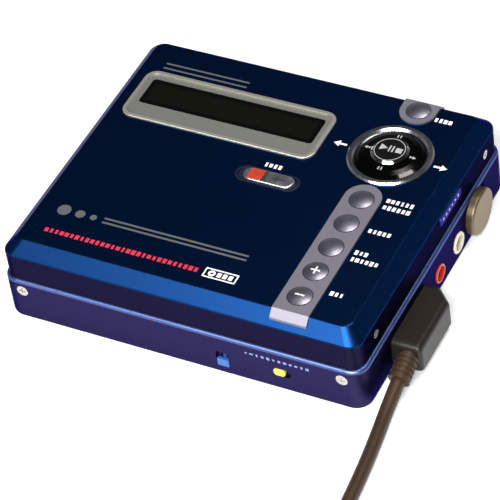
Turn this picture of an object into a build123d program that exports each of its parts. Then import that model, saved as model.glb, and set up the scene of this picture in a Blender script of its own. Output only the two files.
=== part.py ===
from build123d import *
import math
import os

# Portable disc player with a hinged lid, its working parts and its data lead.
# Millimetres. Origin at the middle of the underside, +X to the right along the
# front, +Y to the back where the lid is hinged, +Z up.

# ---------------------------------------------------------------- Driving sizes
# Case
cartridge_side_room = 5.5
cartridge_end_room = 2.0
lid_height = 9.2
split_height = 10.8
plan_radius = 3.6
base_wall = 1.2
base_floor = 1.2
rim_radius = 0.9
foot_radius = 0.8

# Lid
split_gap = 0.15
lid_inset = 0.7
lid_wall = 0.8
lid_skin = 1.0
bevel_width = 2.75
bevel_height = 2.9
bevel_softening = 0.45
bevel_top_radius = 2.0
bevel_relief = 0.6

# Disc cartridge that the holder takes
cartridge_width = 72.0
cartridge_depth = 68.0
cartridge_thickness = 5.0
cartridge_front_gap = 0.15
cartridge_lift = 0.15

# Clearances
slide_gap = 0.1
run_gap = 0.05
press_gap = 0.15

# Lid hinge
hinge_inset = 15.5
hinge_rise = 0.7
knuckle_radius = 1.0
knuckle_margin = 0.05
lid_knuckle_length = 6.0
base_knuckle_length = 4.0
hinge_pin_radius = 0.45

# Deck plate, folded from sheet
deck_sheet = 0.6
deck_drop = 0.6
deck_edge_gap = 0.1
deck_back_gap = 1.0
turntable_hole_radius = 5.2

# Case screws
case_screw_inset = 4.8
case_screw_drop = 2.9
case_screw_head_radius = 1.3
case_screw_head_height = 0.45
case_screw_radius = 0.7
case_screw_length = 2.6
screw_sink = 0.05
screw_tab_width = 2.4
screw_tab_drop = 3.2

# Lid screws
lid_screw_front_inset = 9.0
lid_screw_back_inset = 7.6
lid_screw_rise = 3.1
lid_screw_head_radius = 1.0
lid_screw_head_height = 0.3
lid_screw_radius = 0.5
lid_screw_length = 1.6

# Boards
board_thickness = 0.8
board_standoff = 0.6
board_margin = 0.8
board_corner = 2.4
board_end_corner = 1.2
motor_notch_room = 0.6
controller_width = 12.0
memory_width = 8.0
memory_depth = 13.0
driver_width = 7.0
chip_height = 1.0
chip_gap = 6.0
chip_back_inset = 10.8
chip_right_inset = 25.5
lid_board_thickness = 0.6
can_radius = 1.8
can_height = 2.2
can_pitch = 5.0
can_left_inset = 7.5
can_back_inset = 3.8

# Battery and its bay
battery_right_room = 12.5
battery_width = 17.0
battery_thickness = 6.0
battery_front_room = 4.1
battery_left_room = 1.1
bay_gap = 0.4
bay_wall = 0.5
bay_floor = 0.7
bay_height = 7.1
contact_space = 1.2
contact_sheet = 0.25

# Battery door
door_sill = 0.4
door_height = 7.4
door_barrel_radius = 0.6
door_pin_radius = 0.35
door_pin_reach = 0.6

# Sockets in the right side
socket_z = 4.5
phones_from_data = 25.1
phones_ring_radius = 2.45
mic_from_data = 15.45
mic_ring_radius = 2.15
jack_bore_radius = 1.75
jack_bore_length = 12.4
jack_body_width = 5.4
jack_stand_out = 0.35
data_from_front = 21.8
data_mouth_width = 8.4
data_mouth_height = 2.8
data_socket_depth = 6.4
socket_shell = 0.4

# Switches in the front
mode_switch_inset = 31.75
mode_switch_width = 2.9
mode_recess_low = 2.2
mode_recess_height = 4.0
mode_knob_height = 2.0
mode_switch_travel = 1.8
hold_recess_inset = 20.3
hold_recess_width = 4.0
hold_recess_height = 2.1
hold_switch_z = 5.05
hold_knob_width = 2.7
hold_switch_travel = 1.1
recess_depth = 0.6
switch_stand_out = 0.15

# Open knob and latch
open_knob_inset = 16.0
open_knob_low = 0.7
open_knob_length = 10.6
open_knob_drop = 0.2
open_knob_thickness = 1.8
open_travel = 3.0
latch_bar_thickness = 0.8
latch_bar_height = 1.6
latch_bar_drop = 0.3
latch_bar_inset = 2.6
latch_post_inset = 11.0
latch_post_depth = 2.0
latch_hook_reach = 1.2
latch_hook_rise = 1.8
latch_hook_height = 0.8
stem_depth = 4.0

# Spindle
motor_radius = 8.5
motor_height = 2.4
spindle_radius = 0.75
turntable_radius = 4.4
turntable_boss_radius = 3.6
turntable_nose_radius = 1.9

# Pickup sled and its drive
track_inner = 15.5
sled_end_room = 2.1
sled_left_of_lens = 7.4
sled_right_of_lens = 6.3
sled_below_guide = 2.0
sled_drop = 0.6
guide_drop = 2.4
main_guide_y = 10.2
sub_guide_y = -9.0
guide_radius = 0.7
guide_end_room = 0.4
guide_right = -5.3
screw_y = -11.2
lead_screw_radius = 0.7
thread_ring_pitch = 1.2
thread_ring_width = 0.4
gear_thickness = 1.0
gear_left = -4.8
screw_gear_radius = 1.5
screw_gear_teeth = 15
idler_radius = 1.5
idler_teeth = 15
pinion_radius = 0.9
pinion_teeth = 9
mesh_gap = 0.06
tooth_depth = 0.25
sled_motor_y = -6.4
sled_motor_drop = 2.3
sled_motor_radius = 2.0
sled_motor_length = 9.3
sled_motor_shaft_radius = 0.3
idler_pin_radius = 0.4
bracket_left = -3.3
bracket_thickness = 0.5

# Cartridge holder
holder_sheet = 0.25
holder_side_gap = 0.4
holder_top_gap = 0.1
holder_lip = 3.2
holder_pivot_inset = 5.0
holder_pivot_rise = 0.8
holder_pin_radius = 0.7
holder_ear_gap = 0.35
holder_ear_thickness = 0.8

# Lid frame
frame_gap = 0.1
frame_sheet = 0.3
flange_sheet = 0.5
flange_rise = 0.45

# Write head
head_rail_y = -6.5
head_rail_drop = 2.1
head_rail_radius = 0.6
head_rail_overhang = 4.6
carriage_reach = 3.0
head_slot_half = 5.0
head_slot_room = 0.3

# Controls on the lid
column_inset = 16.3
strip_width = 8.1
strip_seat = 0.4
strip_rise = 0.35
strip_end_room = 4.5
strip_wrap = 1.45
button_from_control = 14.4
button_pitch = 7.35
button_radius = 2.55
button_rim_height = 0.45
button_dome_height = 0.85
button_stem_radius = 1.0
button_flange_radius = 1.7
button_travel = 0.3
menu_inset = 5.95
control_inset = 20.4
ring_radius = 9.2
ring_seat = 0.5
ring_rise = 0.55
skirt_outer = 7.95
skirt_inner = 7.6
skirt_drop = 2.1
key_radius = 7.45
key_dome = 0.9
key_bore_radius = 4.3
key_drop = 0.85
rocker_drop = 1.55
rocker_outer = 7.1
rocker_inner = 5.6
rocker_pin_radius = 0.25
centre_radius = 4.1
centre_rise = 1.8
dome_switch_radius = 2.2
dome_switch_height = 0.35

# Record switch
record_from_column = 21.3
record_from_control = 14.85
record_cup_length = 14.7
record_cup_width = 4.6
record_cup_wall = 0.35
record_knob_length = 11.5
record_knob_width = 3.6
record_knob_shift = 0.35
record_knob_rise = 0.55
record_travel = 1.5
record_seat = 0.75
record_switch_height = 0.6

# Display
bezel_inset = 5.9
bezel_from_column = 15.1
bezel_depth = 15.2
bezel_back_inset = 12.4
bezel_radius = 2.8
bezel_rim = 0.9
bezel_seat = 0.5
bezel_rise = 0.45
window_left_edge = 2.2
window_right_edge = 2.1
window_front_edge = 4.9
window_back_edge = 2.4
window_radius = 0.8
lens_thickness = 0.9
display_margin = 1.0

# Plate on the lid's right side, over the open knob
side_plate_length = 10.6
side_plate_inset = 21.0
side_plate_rise = 3.6
side_plate_height = 2.2
side_plate_thickness = 0.3

# Data lead: a moulded plug, a ribbed boot, the lead and its far plug
lead_radius = 1.5
lead_stand_out = 3.8
plug_reach_front = 9.0
plug_reach_back = 9.0
plug_stand_out = 6.7
plug_low = 1.8
plug_high = 8.2
plug_corner = 3.4
plug_edge = 1.4
tongue_width = 7.2
tongue_height = 1.8
tongue_depth = 5.4
boot_length = 5.4
boot_height = 4.9
boot_droop = 18.0
boot_radius = 2.0
boot_rib_height = 0.3
boot_rib_count = 4
boot_collar = 1.0
coil_turns = 4
coil_radius = 23.7
coil_pitch = 3.5
coil_rise = 3.5
coil_from_front = 74.0
tail_drop = 0.7
tail_length = 17.0
host_body_length = 26.0
host_body_width = 15.0
host_body_height = 8.6
host_shell_length = 12.0
host_shell_width = 12.0
host_shell_height = 4.5
host_shell_wall = 0.35
host_body_edge = 2.2

# ------------------------------------------------------------ Places from sizes
case_width = cartridge_width + 2 * cartridge_side_room
case_depth = cartridge_depth + 2 * cartridge_end_room
case_height = split_height + lid_height
half_width = case_width / 2
half_depth = case_depth / 2
inner_x = half_width - base_wall
inner_y = half_depth - base_wall
inner_radius = plan_radius - base_wall

lid_low = split_height + split_gap
lid_ceiling = case_height - lid_skin
lid_x = half_width - lid_inset
lid_y = half_depth - lid_inset
lid_radius = plan_radius - lid_inset
cavity_x = lid_x - lid_wall
cavity_y = lid_y - lid_wall
cavity_radius = lid_radius - lid_wall

cartridge_low = split_height + cartridge_lift
cartridge_high = cartridge_low + cartridge_thickness
cartridge_front = -cavity_y + cartridge_front_gap
cartridge_back = cartridge_front + cartridge_depth

case_screw_x = half_width - case_screw_inset
case_screw_z = split_height - case_screw_drop
lid_screw_spots = (lid_screw_front_inset - half_depth, half_depth - lid_screw_back_inset)
lid_screw_z = split_height + lid_screw_rise

hinge_y = half_depth - knuckle_radius - knuckle_margin
hinge_z = split_height + hinge_rise
hinge_offset = half_width - hinge_inset
knuckle_step = lid_knuckle_length / 2 + press_gap

deck_high = split_height - deck_drop
deck_low = deck_high - deck_sheet
deck_back = inner_y - deck_back_gap
board_low = base_floor + board_standoff
board_high = board_low + board_thickness
board_edge = inner_x - board_margin

battery_left = -inner_x + battery_left_room
battery_length = inner_x - battery_right_room - battery_left
battery_centre_y = -inner_y + battery_front_room + battery_width / 2
door_low = base_floor + door_sill
door_high = door_low + door_height

battery_front = battery_centre_y - battery_width / 2
battery_back = battery_centre_y + battery_width / 2
battery_right = battery_left + battery_length
battery_low = base_floor + bay_floor
bay_front = battery_front - bay_gap - bay_wall
bay_back = battery_back + bay_gap + bay_wall
bay_right = battery_right + contact_space + bay_wall
door_front = battery_front - bay_gap + slide_gap
door_pivot_x = -half_width + base_wall / 2
door_pivot_y = battery_back + bay_gap - door_barrel_radius

holder_low = cartridge_low - slide_gap - holder_sheet
holder_top = cartridge_high + holder_top_gap
holder_high = holder_top + holder_sheet
holder_x = cartridge_width / 2 + holder_side_gap
ear_x = holder_x + holder_sheet + holder_ear_gap
holder_pivot_y = half_depth - holder_pivot_inset
holder_pivot_z = split_height + holder_pivot_rise

frame_low = holder_high + frame_gap
frame_high = frame_low + frame_sheet
lid_board_high = frame_high + lid_board_thickness
flange_low = lid_low + flange_rise
dome_switch_high = lid_board_high + dome_switch_height
button_foot = dome_switch_high + button_travel + run_gap
plate_low = case_height - strip_seat
plate_high = case_height + strip_rise
button_low = plate_low + button_travel + run_gap

motor_low = deck_low - motor_height
sled_travel = inner_x - sled_end_room - sled_left_of_lens - track_inner
sled_high = deck_low - sled_drop
guide_z = deck_low - guide_drop
sled_low = guide_z - sled_below_guide
guide_left = -inner_x + guide_end_room
sled_motor_z = guide_z - sled_motor_drop
lens_x = -track_inner
sled_left = lens_x - sled_left_of_lens
sled_right = lens_x + sled_right_of_lens

screw_arm_high = guide_z - lead_screw_radius - slide_gap

data_y = -half_depth + data_from_front
data_z = (plug_low + plug_high) / 2
phones_y = data_y + phones_from_data
mic_y = data_y + mic_from_data
plug_front = data_y - plug_reach_front
plug_back = data_y + plug_reach_back
plug_outer = half_width + plug_stand_out
deck_front = inner_y - deck_edge_gap
mode_switch_x = half_width - mode_switch_inset
hold_recess_left = half_width - hold_recess_inset
mode_stem_z = mode_recess_low + slide_gap + mode_knob_height / 2
hold_stem_x = hold_recess_left + slide_gap + hold_knob_width / 2

open_knob_y = half_depth - open_knob_inset
open_knob_height = split_height - open_knob_drop - open_knob_low
open_knob_z = open_knob_low + open_knob_height / 2
latch_bar_high = deck_low - latch_bar_drop
latch_bar_low = latch_bar_high - latch_bar_height
latch_bar_x = half_width - latch_bar_inset
latch_post_front = -half_depth + latch_post_inset
latch_hook_low = split_height + latch_hook_rise
latch_hook_high = latch_hook_low + latch_hook_height

cup_low = case_height - record_seat

column_x = half_width - column_inset
control_y = half_depth - control_inset
menu_y = half_depth - menu_inset
button_first_y = control_y - button_from_control
strip_back = button_first_y + strip_end_room
skirt_low = case_height - skirt_drop
key_low = case_height - key_drop
rocker_z = case_height - rocker_drop
record_x = column_x - record_from_column
record_y = control_y - record_from_control
record_knob_x = record_x + record_knob_shift
bezel_left = -half_width + bezel_inset
bezel_right = column_x - bezel_from_column
bezel_back = half_depth - bezel_back_inset
bezel_front = bezel_back - bezel_depth
window_left = bezel_left + window_left_edge
window_right = bezel_right - window_right_edge
window_front = bezel_front + window_front_edge
window_back = bezel_back - window_back_edge
side_plate_back = half_depth - side_plate_inset
side_plate_front = side_plate_back - side_plate_length
side_plate_low = lid_low + side_plate_rise

display_left = bezel_left + display_margin
display_right = bezel_right - display_margin
display_front = bezel_front + display_margin
display_back = bezel_back - display_margin

head_rail_left = lens_x - sled_travel - head_rail_overhang
head_rail_right = lens_x + head_rail_overhang
head_rail_z = case_height - head_rail_drop
coil_centre_y = -half_depth - coil_from_front


def idler_place():
    """Centre of the idler, as (y, z), at meshing distance from both its gears."""
    to_screw = screw_gear_radius + idler_radius + mesh_gap
    to_pinion = pinion_radius + idler_radius + mesh_gap
    dy = sled_motor_y - screw_y
    dz = sled_motor_z - guide_z
    span = math.hypot(dy, dz)
    along = (to_screw**2 - to_pinion**2 + span**2) / (2 * span)
    aside = math.sqrt(to_screw**2 - along**2)
    y = screw_y + (along * dy + aside * dz) / span
    z = guide_z + (along * dz - aside * dy) / span
    return y, z


idler_y, idler_z = idler_place()


# ------------------------------------------------------------------ Small tools
def block(x_span, y_span, z_span):
    """Box between a low and a high limit on each axis."""
    spans = (x_span, y_span, z_span)
    middle = [(low + high) / 2 for low, high in spans]
    size = [high - low for low, high in spans]
    return Pos(*middle) * Box(*size)


def slab(half_x, half_y, radius, low, high):
    """Upright prism with a rounded rectangle as its plan, centred on the origin."""
    return extrude(Pos(0, 0, low) * RectangleRounded(2 * half_x, 2 * half_y, radius), high - low)


def tile(x_span, y_span, radius, low, high):
    """Upright prism over a rounded rectangle between the given limits."""
    plan = RectangleRounded(x_span[1] - x_span[0], y_span[1] - y_span[0], radius)
    return extrude(Pos(sum(x_span) / 2, sum(y_span) / 2, low) * plan, high - low)


def disc(x, y, radius, low, high):
    """Upright cylinder."""
    return Pos(x, y, (low + high) / 2) * Cylinder(radius, high - low)


def rod_x(left, right, y, z, radius):
    """Cylinder along X."""
    return Pos((left + right) / 2, y, z) * Rot(0, 90, 0) * Cylinder(radius, right - left)


def rod_y(x, front, back, z, radius):
    """Cylinder along Y."""
    return Pos(x, (front + back) / 2, z) * Rot(90, 0, 0) * Cylinder(radius, back - front)


def side_prism(points, left, right):
    """Prism along X whose outline is given as (y, z) points."""
    outline = Plane.YZ.offset(left) * make_face(Polyline(*points, close=True))
    return extrude(outline, right - left)


def turned(points):
    """Solid of revolution about Z from (radius, height) points."""
    outline = Plane.XZ * make_face(Polyline(*points, close=True))
    return revolve(outline, Axis.Z)


def both_sides(shape):
    """The shape and its mirror image across the middle of the case."""
    return [shape, mirror(shape, Plane.YZ)]


def all_of(shapes):
    """One sub-part made of separate solids."""
    return Compound(children=list(shapes))


def beveled_slab(half_x, half_y, radius, low, high, width, height, top_radius):
    """Upright rounded prism that slopes in to a smaller rounded top."""
    shoulder = high - height
    foot = Pos(0, 0, shoulder) * RectangleRounded(2 * half_x, 2 * half_y, radius)
    top = Pos(0, 0, high) * RectangleRounded(2 * (half_x - width), 2 * (half_y - width), top_radius)
    return slab(half_x, half_y, radius, low, shoulder) + loft([foot, top], ruled=True)


def edges_at(shape, height):
    """Edges that lie flat at one height."""
    return shape.edges().filter_by_position(Axis.Z, height - 0.001, height + 0.001)


def save(name, shape):
    """Write one sub-part under its own name."""
    export_step(shape, f"parts/{name}.step")


# ------------------------------------------------------------------ Lower case
def case_screw(side_x, side_y):
    """Pan-head screw through the front or back wall, head flush with the wall."""
    face = side_y * (half_depth - screw_sink)
    seat = face - side_y * case_screw_head_height
    tip = seat - side_y * case_screw_length
    x = side_x * case_screw_x
    head = rod_y(x, min(face, seat), max(face, seat), case_screw_z, case_screw_head_radius)
    shank = rod_y(x, min(seat, tip), max(seat, tip), case_screw_z, case_screw_radius)
    drive_depth = case_screw_head_height / 2
    arm = case_screw_head_radius * 0.65
    y_span = sorted((face, face - side_y * drive_depth))
    slots = [
        block((x - arm, x + arm), y_span, (case_screw_z - 0.15, case_screw_z + 0.15)),
        block((x - 0.15, x + 0.15), y_span, (case_screw_z - arm, case_screw_z + arm)),
    ]
    return head + shank - slots


def screw_seats():
    """Holes and counterbores for the case screws."""
    cuts = []
    for side_x in (-1, 1):
        for side_y in (-1, 1):
            x = side_x * case_screw_x
            seat = half_depth - screw_sink - case_screw_head_height
            far = half_depth + 1
            span = sorted((side_y * seat, side_y * far))
            cuts.append(rod_y(x, *span, case_screw_z, case_screw_head_radius + run_gap))
            span = sorted((side_y * (inner_y - 0.5), side_y * far))
            cuts.append(rod_y(x, *span, case_screw_z, case_screw_radius + run_gap))
    return cuts


def knuckle_spans(own_half, reach):
    """X spans, for both hinges, on either side of the lid's knuckle."""
    spans = []
    for hinge in (-hinge_offset, hinge_offset):
        spans.append((hinge - reach, hinge - own_half))
        spans.append((hinge + own_half, hinge + reach))
    return spans


def base_knuckles():
    """Hinge knuckles on the back wall, each on its web."""
    shapes = []
    for span in knuckle_spans(knuckle_step, knuckle_step + base_knuckle_length):
        barrel = rod_x(*span, hinge_y, hinge_z, knuckle_radius)
        y_span = (hinge_y - knuckle_radius, hinge_y + knuckle_radius - knuckle_margin)
        shapes.append(barrel + block(span, y_span, (deck_high + slide_gap, hinge_z)))
    return shapes


def lid_knuckle_pockets():
    """Room in the back wall for the lid's knuckles."""
    cuts = []
    for hinge in (-hinge_offset, hinge_offset):
        x_span = (hinge - knuckle_step, hinge + knuckle_step)
        low = hinge_z - knuckle_radius - slide_gap
        cuts.append(block(x_span, (hinge_y - knuckle_radius - 0.5, half_depth + 1), (low, case_height)))
    return cuts


def corner_ledges():
    """Blocks in the corners that the deck plate rests on."""
    inside = slab(inner_x, inner_y, inner_radius, deck_low - 1.2, deck_low)
    reach = case_screw_x + screw_tab_width / 2 + 0.2
    ledges = []
    for side_x in (-1, 1):
        for side_y in (-1, 1):
            x_span = sorted((side_x * reach, side_x * (inner_x + 0.5)))
            y_span = sorted((side_y * (deck_back - 3.0), side_y * (inner_y + 0.5)))
            ledges.append(inside & block(x_span, y_span, (deck_low - 1.2, deck_low)))
    return ledges


def board_feet():
    """Low bosses that carry the main board."""
    spots = [(x, y) for x in (-board_edge + 4, board_edge - 4) for y in (bay_back + 4, deck_back - 4)]
    spots.append((board_edge - 4, bay_front + 3))
    return [disc(x, y, 1.6, base_floor - 0.2, board_low) for x, y in spots]


def switch_recess(x_span, z_span, radius):
    """Shallow recess in the front wall."""
    plan = RectangleRounded(x_span[1] - x_span[0], z_span[1] - z_span[0], radius)
    place = Pos(sum(x_span) / 2, -half_depth + recess_depth, sum(z_span) / 2) * Rot(90, 0, 0)
    return place * extrude(plan, recess_depth + 1)


def front_cuts():
    """Recesses and slots of the two front switches."""
    mode_x = (mode_switch_x - mode_switch_width / 2, mode_switch_x + mode_switch_width / 2)
    mode_z = (mode_recess_low, mode_recess_low + mode_recess_height)
    hold_x = (hold_recess_left, hold_recess_left + hold_recess_width)
    hold_z = (hold_switch_z - hold_recess_height / 2, hold_switch_z + hold_recess_height / 2)
    through = (-half_depth, -inner_y + 0.5)
    mode_slot = block(
        (mode_switch_x - 0.5 - slide_gap, mode_switch_x + 0.5 + slide_gap),
        through,
        (mode_stem_z - 0.4 - slide_gap, mode_stem_z + 0.4 + mode_switch_travel + slide_gap),
    )
    hold_slot = block(
        (hold_stem_x - 0.45 - slide_gap, hold_stem_x + 0.45 + hold_switch_travel + slide_gap),
        through,
        (hold_switch_z - 0.3 - slide_gap, hold_switch_z + 0.3 + slide_gap),
    )
    return [
        switch_recess(mode_x, mode_z, 0.3),
        switch_recess(hold_x, hold_z, hold_recess_height * 0.45),
        mode_slot,
        hold_slot,
    ]


def right_side_cuts():
    """Holes for the sockets and the slot of the open knob's stem."""
    wall = (inner_x - 0.5, half_width + 1)
    mouth_y = (data_y - data_mouth_width / 2, data_y + data_mouth_width / 2)
    mouth_z = (data_z - data_mouth_height / 2, data_z + data_mouth_height / 2)
    stem_front = open_knob_y - stem_depth / 2 - slide_gap
    stem_back = open_knob_y + stem_depth / 2 + open_travel + slide_gap
    return [
        rod_x(*wall, phones_y, socket_z, phones_ring_radius + run_gap),
        rod_x(*wall, mic_y, socket_z, mic_ring_radius + run_gap),
        block(wall, mouth_y, mouth_z),
        block(wall, (stem_front, stem_back), (latch_bar_low - slide_gap, latch_bar_high + slide_gap)),
    ]


def door_cuts():
    """Opening for the battery and the holes of the door's pin."""
    y_span = (battery_front - bay_gap, door_pivot_y + door_barrel_radius + slide_gap)
    opening = block((-half_width - 1, -inner_x + 0.3), y_span, (door_low, door_high))
    return [opening, door_pin()]


def door_pin():
    """Upright pin of the battery door."""
    low = door_low - door_pin_reach
    high = door_high + door_pin_reach
    return disc(door_pivot_x, door_pivot_y, door_pin_radius, low, high)


def make_base_case():
    """Tray with its front, back and side walls in one moulding."""
    shell = slab(half_width, half_depth, plan_radius, 0, split_height)
    shell = fillet(edges_at(shell, 0), foot_radius)
    shell = fillet(edges_at(shell, split_height), rim_radius)
    shell -= slab(inner_x, inner_y, inner_radius, base_floor, split_height + 1)
    post_y = (latch_post_front - 6.2, latch_post_front - 5.5)
    spring_post = block((latch_bar_x - 0.6, inner_x + 0.3), post_y, (latch_bar_low, latch_bar_high))
    shell += board_feet() + corner_ledges() + [spring_post]
    shell -= lid_knuckle_pockets()
    shell += base_knuckles()
    return shell - (screw_seats() + front_cuts() + right_side_cuts() + door_cuts() + hinge_pins())


def hinge_pins():
    """The two pins of the lid hinge."""
    reach = knuckle_step + base_knuckle_length
    ends = [(hinge - reach, hinge + reach) for hinge in (-hinge_offset, hinge_offset)]
    return [rod_x(*span, hinge_y, hinge_z, hinge_pin_radius) for span in ends]


def make_case_screws():
    """Four screws that hold the lower case to the deck plate."""
    return all_of(case_screw(side_x, side_y) for side_x in (-1, 1) for side_y in (-1, 1))


def make_pivot_pins():
    """Steel pins: two in the lid hinge, two for the holder, one in the door."""
    pins = hinge_pins()
    inner_end = holder_x - slide_gap
    outer_end = ear_x + holder_ear_thickness
    pins += both_sides(rod_x(inner_end, outer_end, holder_pivot_y, holder_pivot_z, holder_pin_radius))
    pins.append(door_pin())
    return all_of(pins)


# ------------------------------------------------------------------ Deck plate
def deck_tab(x_span, y_span, low, hole):
    """Tab folded down from the deck, with its hole."""
    return block(x_span, y_span, (low, deck_low)) - hole


def screw_tabs():
    """Threaded tabs behind the case screws, trimmed to the case's corners."""
    inside = slab(inner_x - deck_edge_gap, deck_front, inner_radius - deck_edge_gap, 0, split_height)
    tabs = []
    for side_x in (-1, 1):
        x = side_x * case_screw_x
        x_span = (x - screw_tab_width / 2, x + screw_tab_width / 2)
        for face, fold in ((-deck_front, 1), (deck_back, -1)):
            y_span = sorted((face, face + fold * deck_sheet))
            hole = rod_y(x, y_span[0] - 1, y_span[1] + 1, case_screw_z, case_screw_radius)
            tabs.append(inside & deck_tab(x_span, y_span, deck_low - screw_tab_drop, hole))
    return tabs


def guide_tabs():
    """Folded tabs that hold the ends of the guide rods and the lead screw."""
    low = guide_z - 1.0
    tabs = []
    for left in (guide_left, guide_right - deck_sheet):
        x_span = (left, left + deck_sheet)
        ends = (left - 1, left + deck_sheet + 1)
        main_hole = rod_x(*ends, main_guide_y, guide_z, guide_radius)
        tabs.append(deck_tab(x_span, (main_guide_y - 1.1, main_guide_y + 1.1), low, main_hole))
        holes = [
            rod_x(*ends, sub_guide_y, guide_z, guide_radius),
            rod_x(*ends, screw_y, guide_z, lead_screw_radius + run_gap),
        ]
        tabs.append(deck_tab(x_span, (screw_y - 1.1, sub_guide_y + 1.1), low, holes))
    return tabs


def gear_bracket():
    """Folded bracket for the sled motor and the idler's stub."""
    right = bracket_left + bracket_thickness
    ends = (bracket_left - 1, right + 1)
    front = screw_y - 1.1
    outline = [
        (front, deck_low),
        (front, sled_motor_z - 1.6),
        (sled_motor_y + 2.0, sled_motor_z - 1.6),
        (sled_motor_y + 2.0, motor_low - 0.3),
        (-motor_radius - 0.1, motor_low - 0.3),
        (-motor_radius - 0.1, deck_low),
    ]
    plate = side_prism(outline, bracket_left, right)
    plate -= rod_x(*ends, sled_motor_y, sled_motor_z, sled_motor_shaft_radius)
    plate -= rod_x(*ends, screw_y, guide_z, lead_screw_radius + run_gap)
    stub = rod_x(gear_left - 0.2, right, idler_y, idler_z, idler_pin_radius)
    return plate + stub


def holder_ears():
    """Ears that stand up from the deck and carry the cartridge holder's pins."""
    x_span = (ear_x, ear_x + holder_ear_thickness)
    ear = block(x_span, (holder_pivot_y - 1.4, holder_pivot_y + 1.4), (deck_low, holder_pivot_z))
    ear += rod_x(*x_span, holder_pivot_y, holder_pivot_z, 1.4)
    ear -= rod_x(ear_x - 1, x_span[1] + 1, holder_pivot_y, holder_pivot_z, holder_pin_radius)
    return both_sides(ear)


def cartridge_pads():
    """Round pads that the cartridge comes down on."""
    spots = [(x, y) for x in (-29.0, 29.0) for y in (-27.0, 27.0)]
    return [disc(x, y, 1.2, deck_high - 0.1, cartridge_low - slide_gap) for x, y in spots]


def make_deck_plate():
    """Sheet deck with folded tabs, over the drive and the battery."""
    plate = tile(
        (-inner_x + deck_edge_gap, inner_x - deck_edge_gap),
        (-deck_front, deck_back),
        inner_radius - deck_edge_gap,
        deck_low,
        deck_high,
    )
    plate -= disc(0, 0, turntable_hole_radius, deck_low - 1, deck_high + 1)
    lens_span = (lens_x - sled_travel - 4.0, lens_x + 4.0)
    plate -= block(lens_span, (-3.8, 3.8), (deck_low - 1, deck_high + 1))
    post_back = latch_post_front + latch_post_depth
    hook_y = (latch_post_front - latch_hook_reach - 0.4, post_back + open_travel + 0.4)
    hook_x = (latch_bar_x - latch_bar_thickness / 2 - 0.3, latch_bar_x + latch_bar_thickness / 2 + 0.3)
    plate -= block(hook_x, hook_y, (deck_low - 1, deck_high + 1))
    return plate + screw_tabs() + guide_tabs() + [gear_bracket()] + holder_ears() + cartridge_pads()


# ------------------------------------------------------- Battery and its door
def make_battery_bay():
    """Trough for the battery, with an end wall behind its contact."""
    left = -inner_x + 0.1
    y_span = (bay_front, bay_back)
    trough = block((left, bay_right), y_span, (base_floor, base_floor + bay_height))
    room_y = (bay_front + bay_wall, bay_back - bay_wall)
    return trough - block((left - 1, bay_right - bay_wall), room_y, (battery_low, case_height))


def make_battery():
    """Flat rechargeable cell with rounded long edges."""
    z_span = (battery_low, battery_low + battery_thickness)
    cell = block((battery_left, battery_right), (battery_front, battery_back), z_span)
    cell = fillet(cell.edges().filter_by(Axis.X), 1.0)
    terminal = rod_x(
        battery_right - 0.1, battery_right + 0.3, battery_centre_y, battery_low + battery_thickness / 2, 1.5
    )
    return cell + terminal


def make_battery_contact():
    """Leaf contact between the cell and the bay's end wall."""
    near = battery_right + 0.35
    far = bay_right - bay_wall
    middle = battery_low + battery_thickness / 2
    wide = (battery_centre_y - 2, battery_centre_y + 2)
    narrow = (battery_centre_y - 1, battery_centre_y + 1)
    foot = block((far - contact_sheet, far), wide, (battery_low, middle + 2.5))
    tongue = block((near, far - 0.1), narrow, (middle - 0.15, middle + 0.15))
    pad = block((near, near + contact_sheet), narrow, (middle - 1.2, middle + 1.2))
    return foot + tongue + pad


def make_battery_door():
    """Door in the left side that swings on an upright pin."""
    low = door_low + slide_gap
    high = door_high - slide_gap
    panel = block((-half_width, -inner_x), (door_front, door_pivot_y), (low, high))
    barrel = disc(door_pivot_x, door_pivot_y, door_barrel_radius, low, high)
    grip = block(
        (-half_width - 0.5, -half_width + 0.3),
        (door_front + 0.6, door_front + 1.4),
        (low + 1.5, high - 1.5),
    )
    middle = battery_low + battery_thickness / 2
    contact_y = (battery_centre_y - 2, battery_centre_y + 2)
    contact = block((-inner_x - 0.1, -inner_x + 0.5), contact_y, (middle - 1.5, middle + 1.5))
    bore = disc(door_pivot_x, door_pivot_y, door_pin_radius + run_gap, 0, case_height)
    return panel + barrel + grip + contact - bore


# -------------------------------------------------------- Boards and sockets
def make_main_board():
    """L-shaped board: behind the battery and up its right-hand end."""
    low, high = board_low, board_high
    back_part = tile((-board_edge, board_edge), (bay_back + 0.2, deck_back - 0.2), board_corner, low, high)
    end_part = tile((bay_right + 0.3, board_edge), (-deck_front + 1.6, 0), board_end_corner, low, high)
    notch_x = (gear_left - motor_notch_room, bracket_left + sled_motor_length + 2 * motor_notch_room)
    notch_y = (bay_back - 1, sled_motor_y + sled_motor_radius + motor_notch_room)
    return back_part + end_part - block(notch_x, notch_y, (low - 1, high + 1))


def make_board_chips():
    """Larger components on the main board: chips in an L, cans behind them."""
    def chip(x, y, width, depth):
        return Pos(x, y, board_high + chip_height / 2) * Box(width, depth, chip_height)

    row_y = deck_back - chip_back_inset
    controller_x = board_edge - chip_right_inset
    memory_x = controller_x - (controller_width + memory_width) / 2 - chip_gap
    driver_step = (controller_width + driver_width) / 2 + chip_gap
    chips = [
        chip(controller_x, row_y, controller_width, controller_width),
        chip(memory_x, row_y, memory_width, memory_depth),
        chip(memory_x - driver_step, row_y, driver_width, driver_width),
        chip(controller_x + driver_step, row_y, driver_width, driver_width),
        chip(controller_x, row_y - driver_step, driver_width, driver_width),
        chip(controller_x, row_y - driver_step - 2 * driver_width, driver_width, driver_width),
    ]
    can_top = board_high + can_height
    for number in range(3):
        x = can_left_inset - board_edge + can_pitch * number
        chips.append(disc(x, deck_back - can_back_inset, can_radius, board_high, can_top))
    return all_of(chips)


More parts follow.
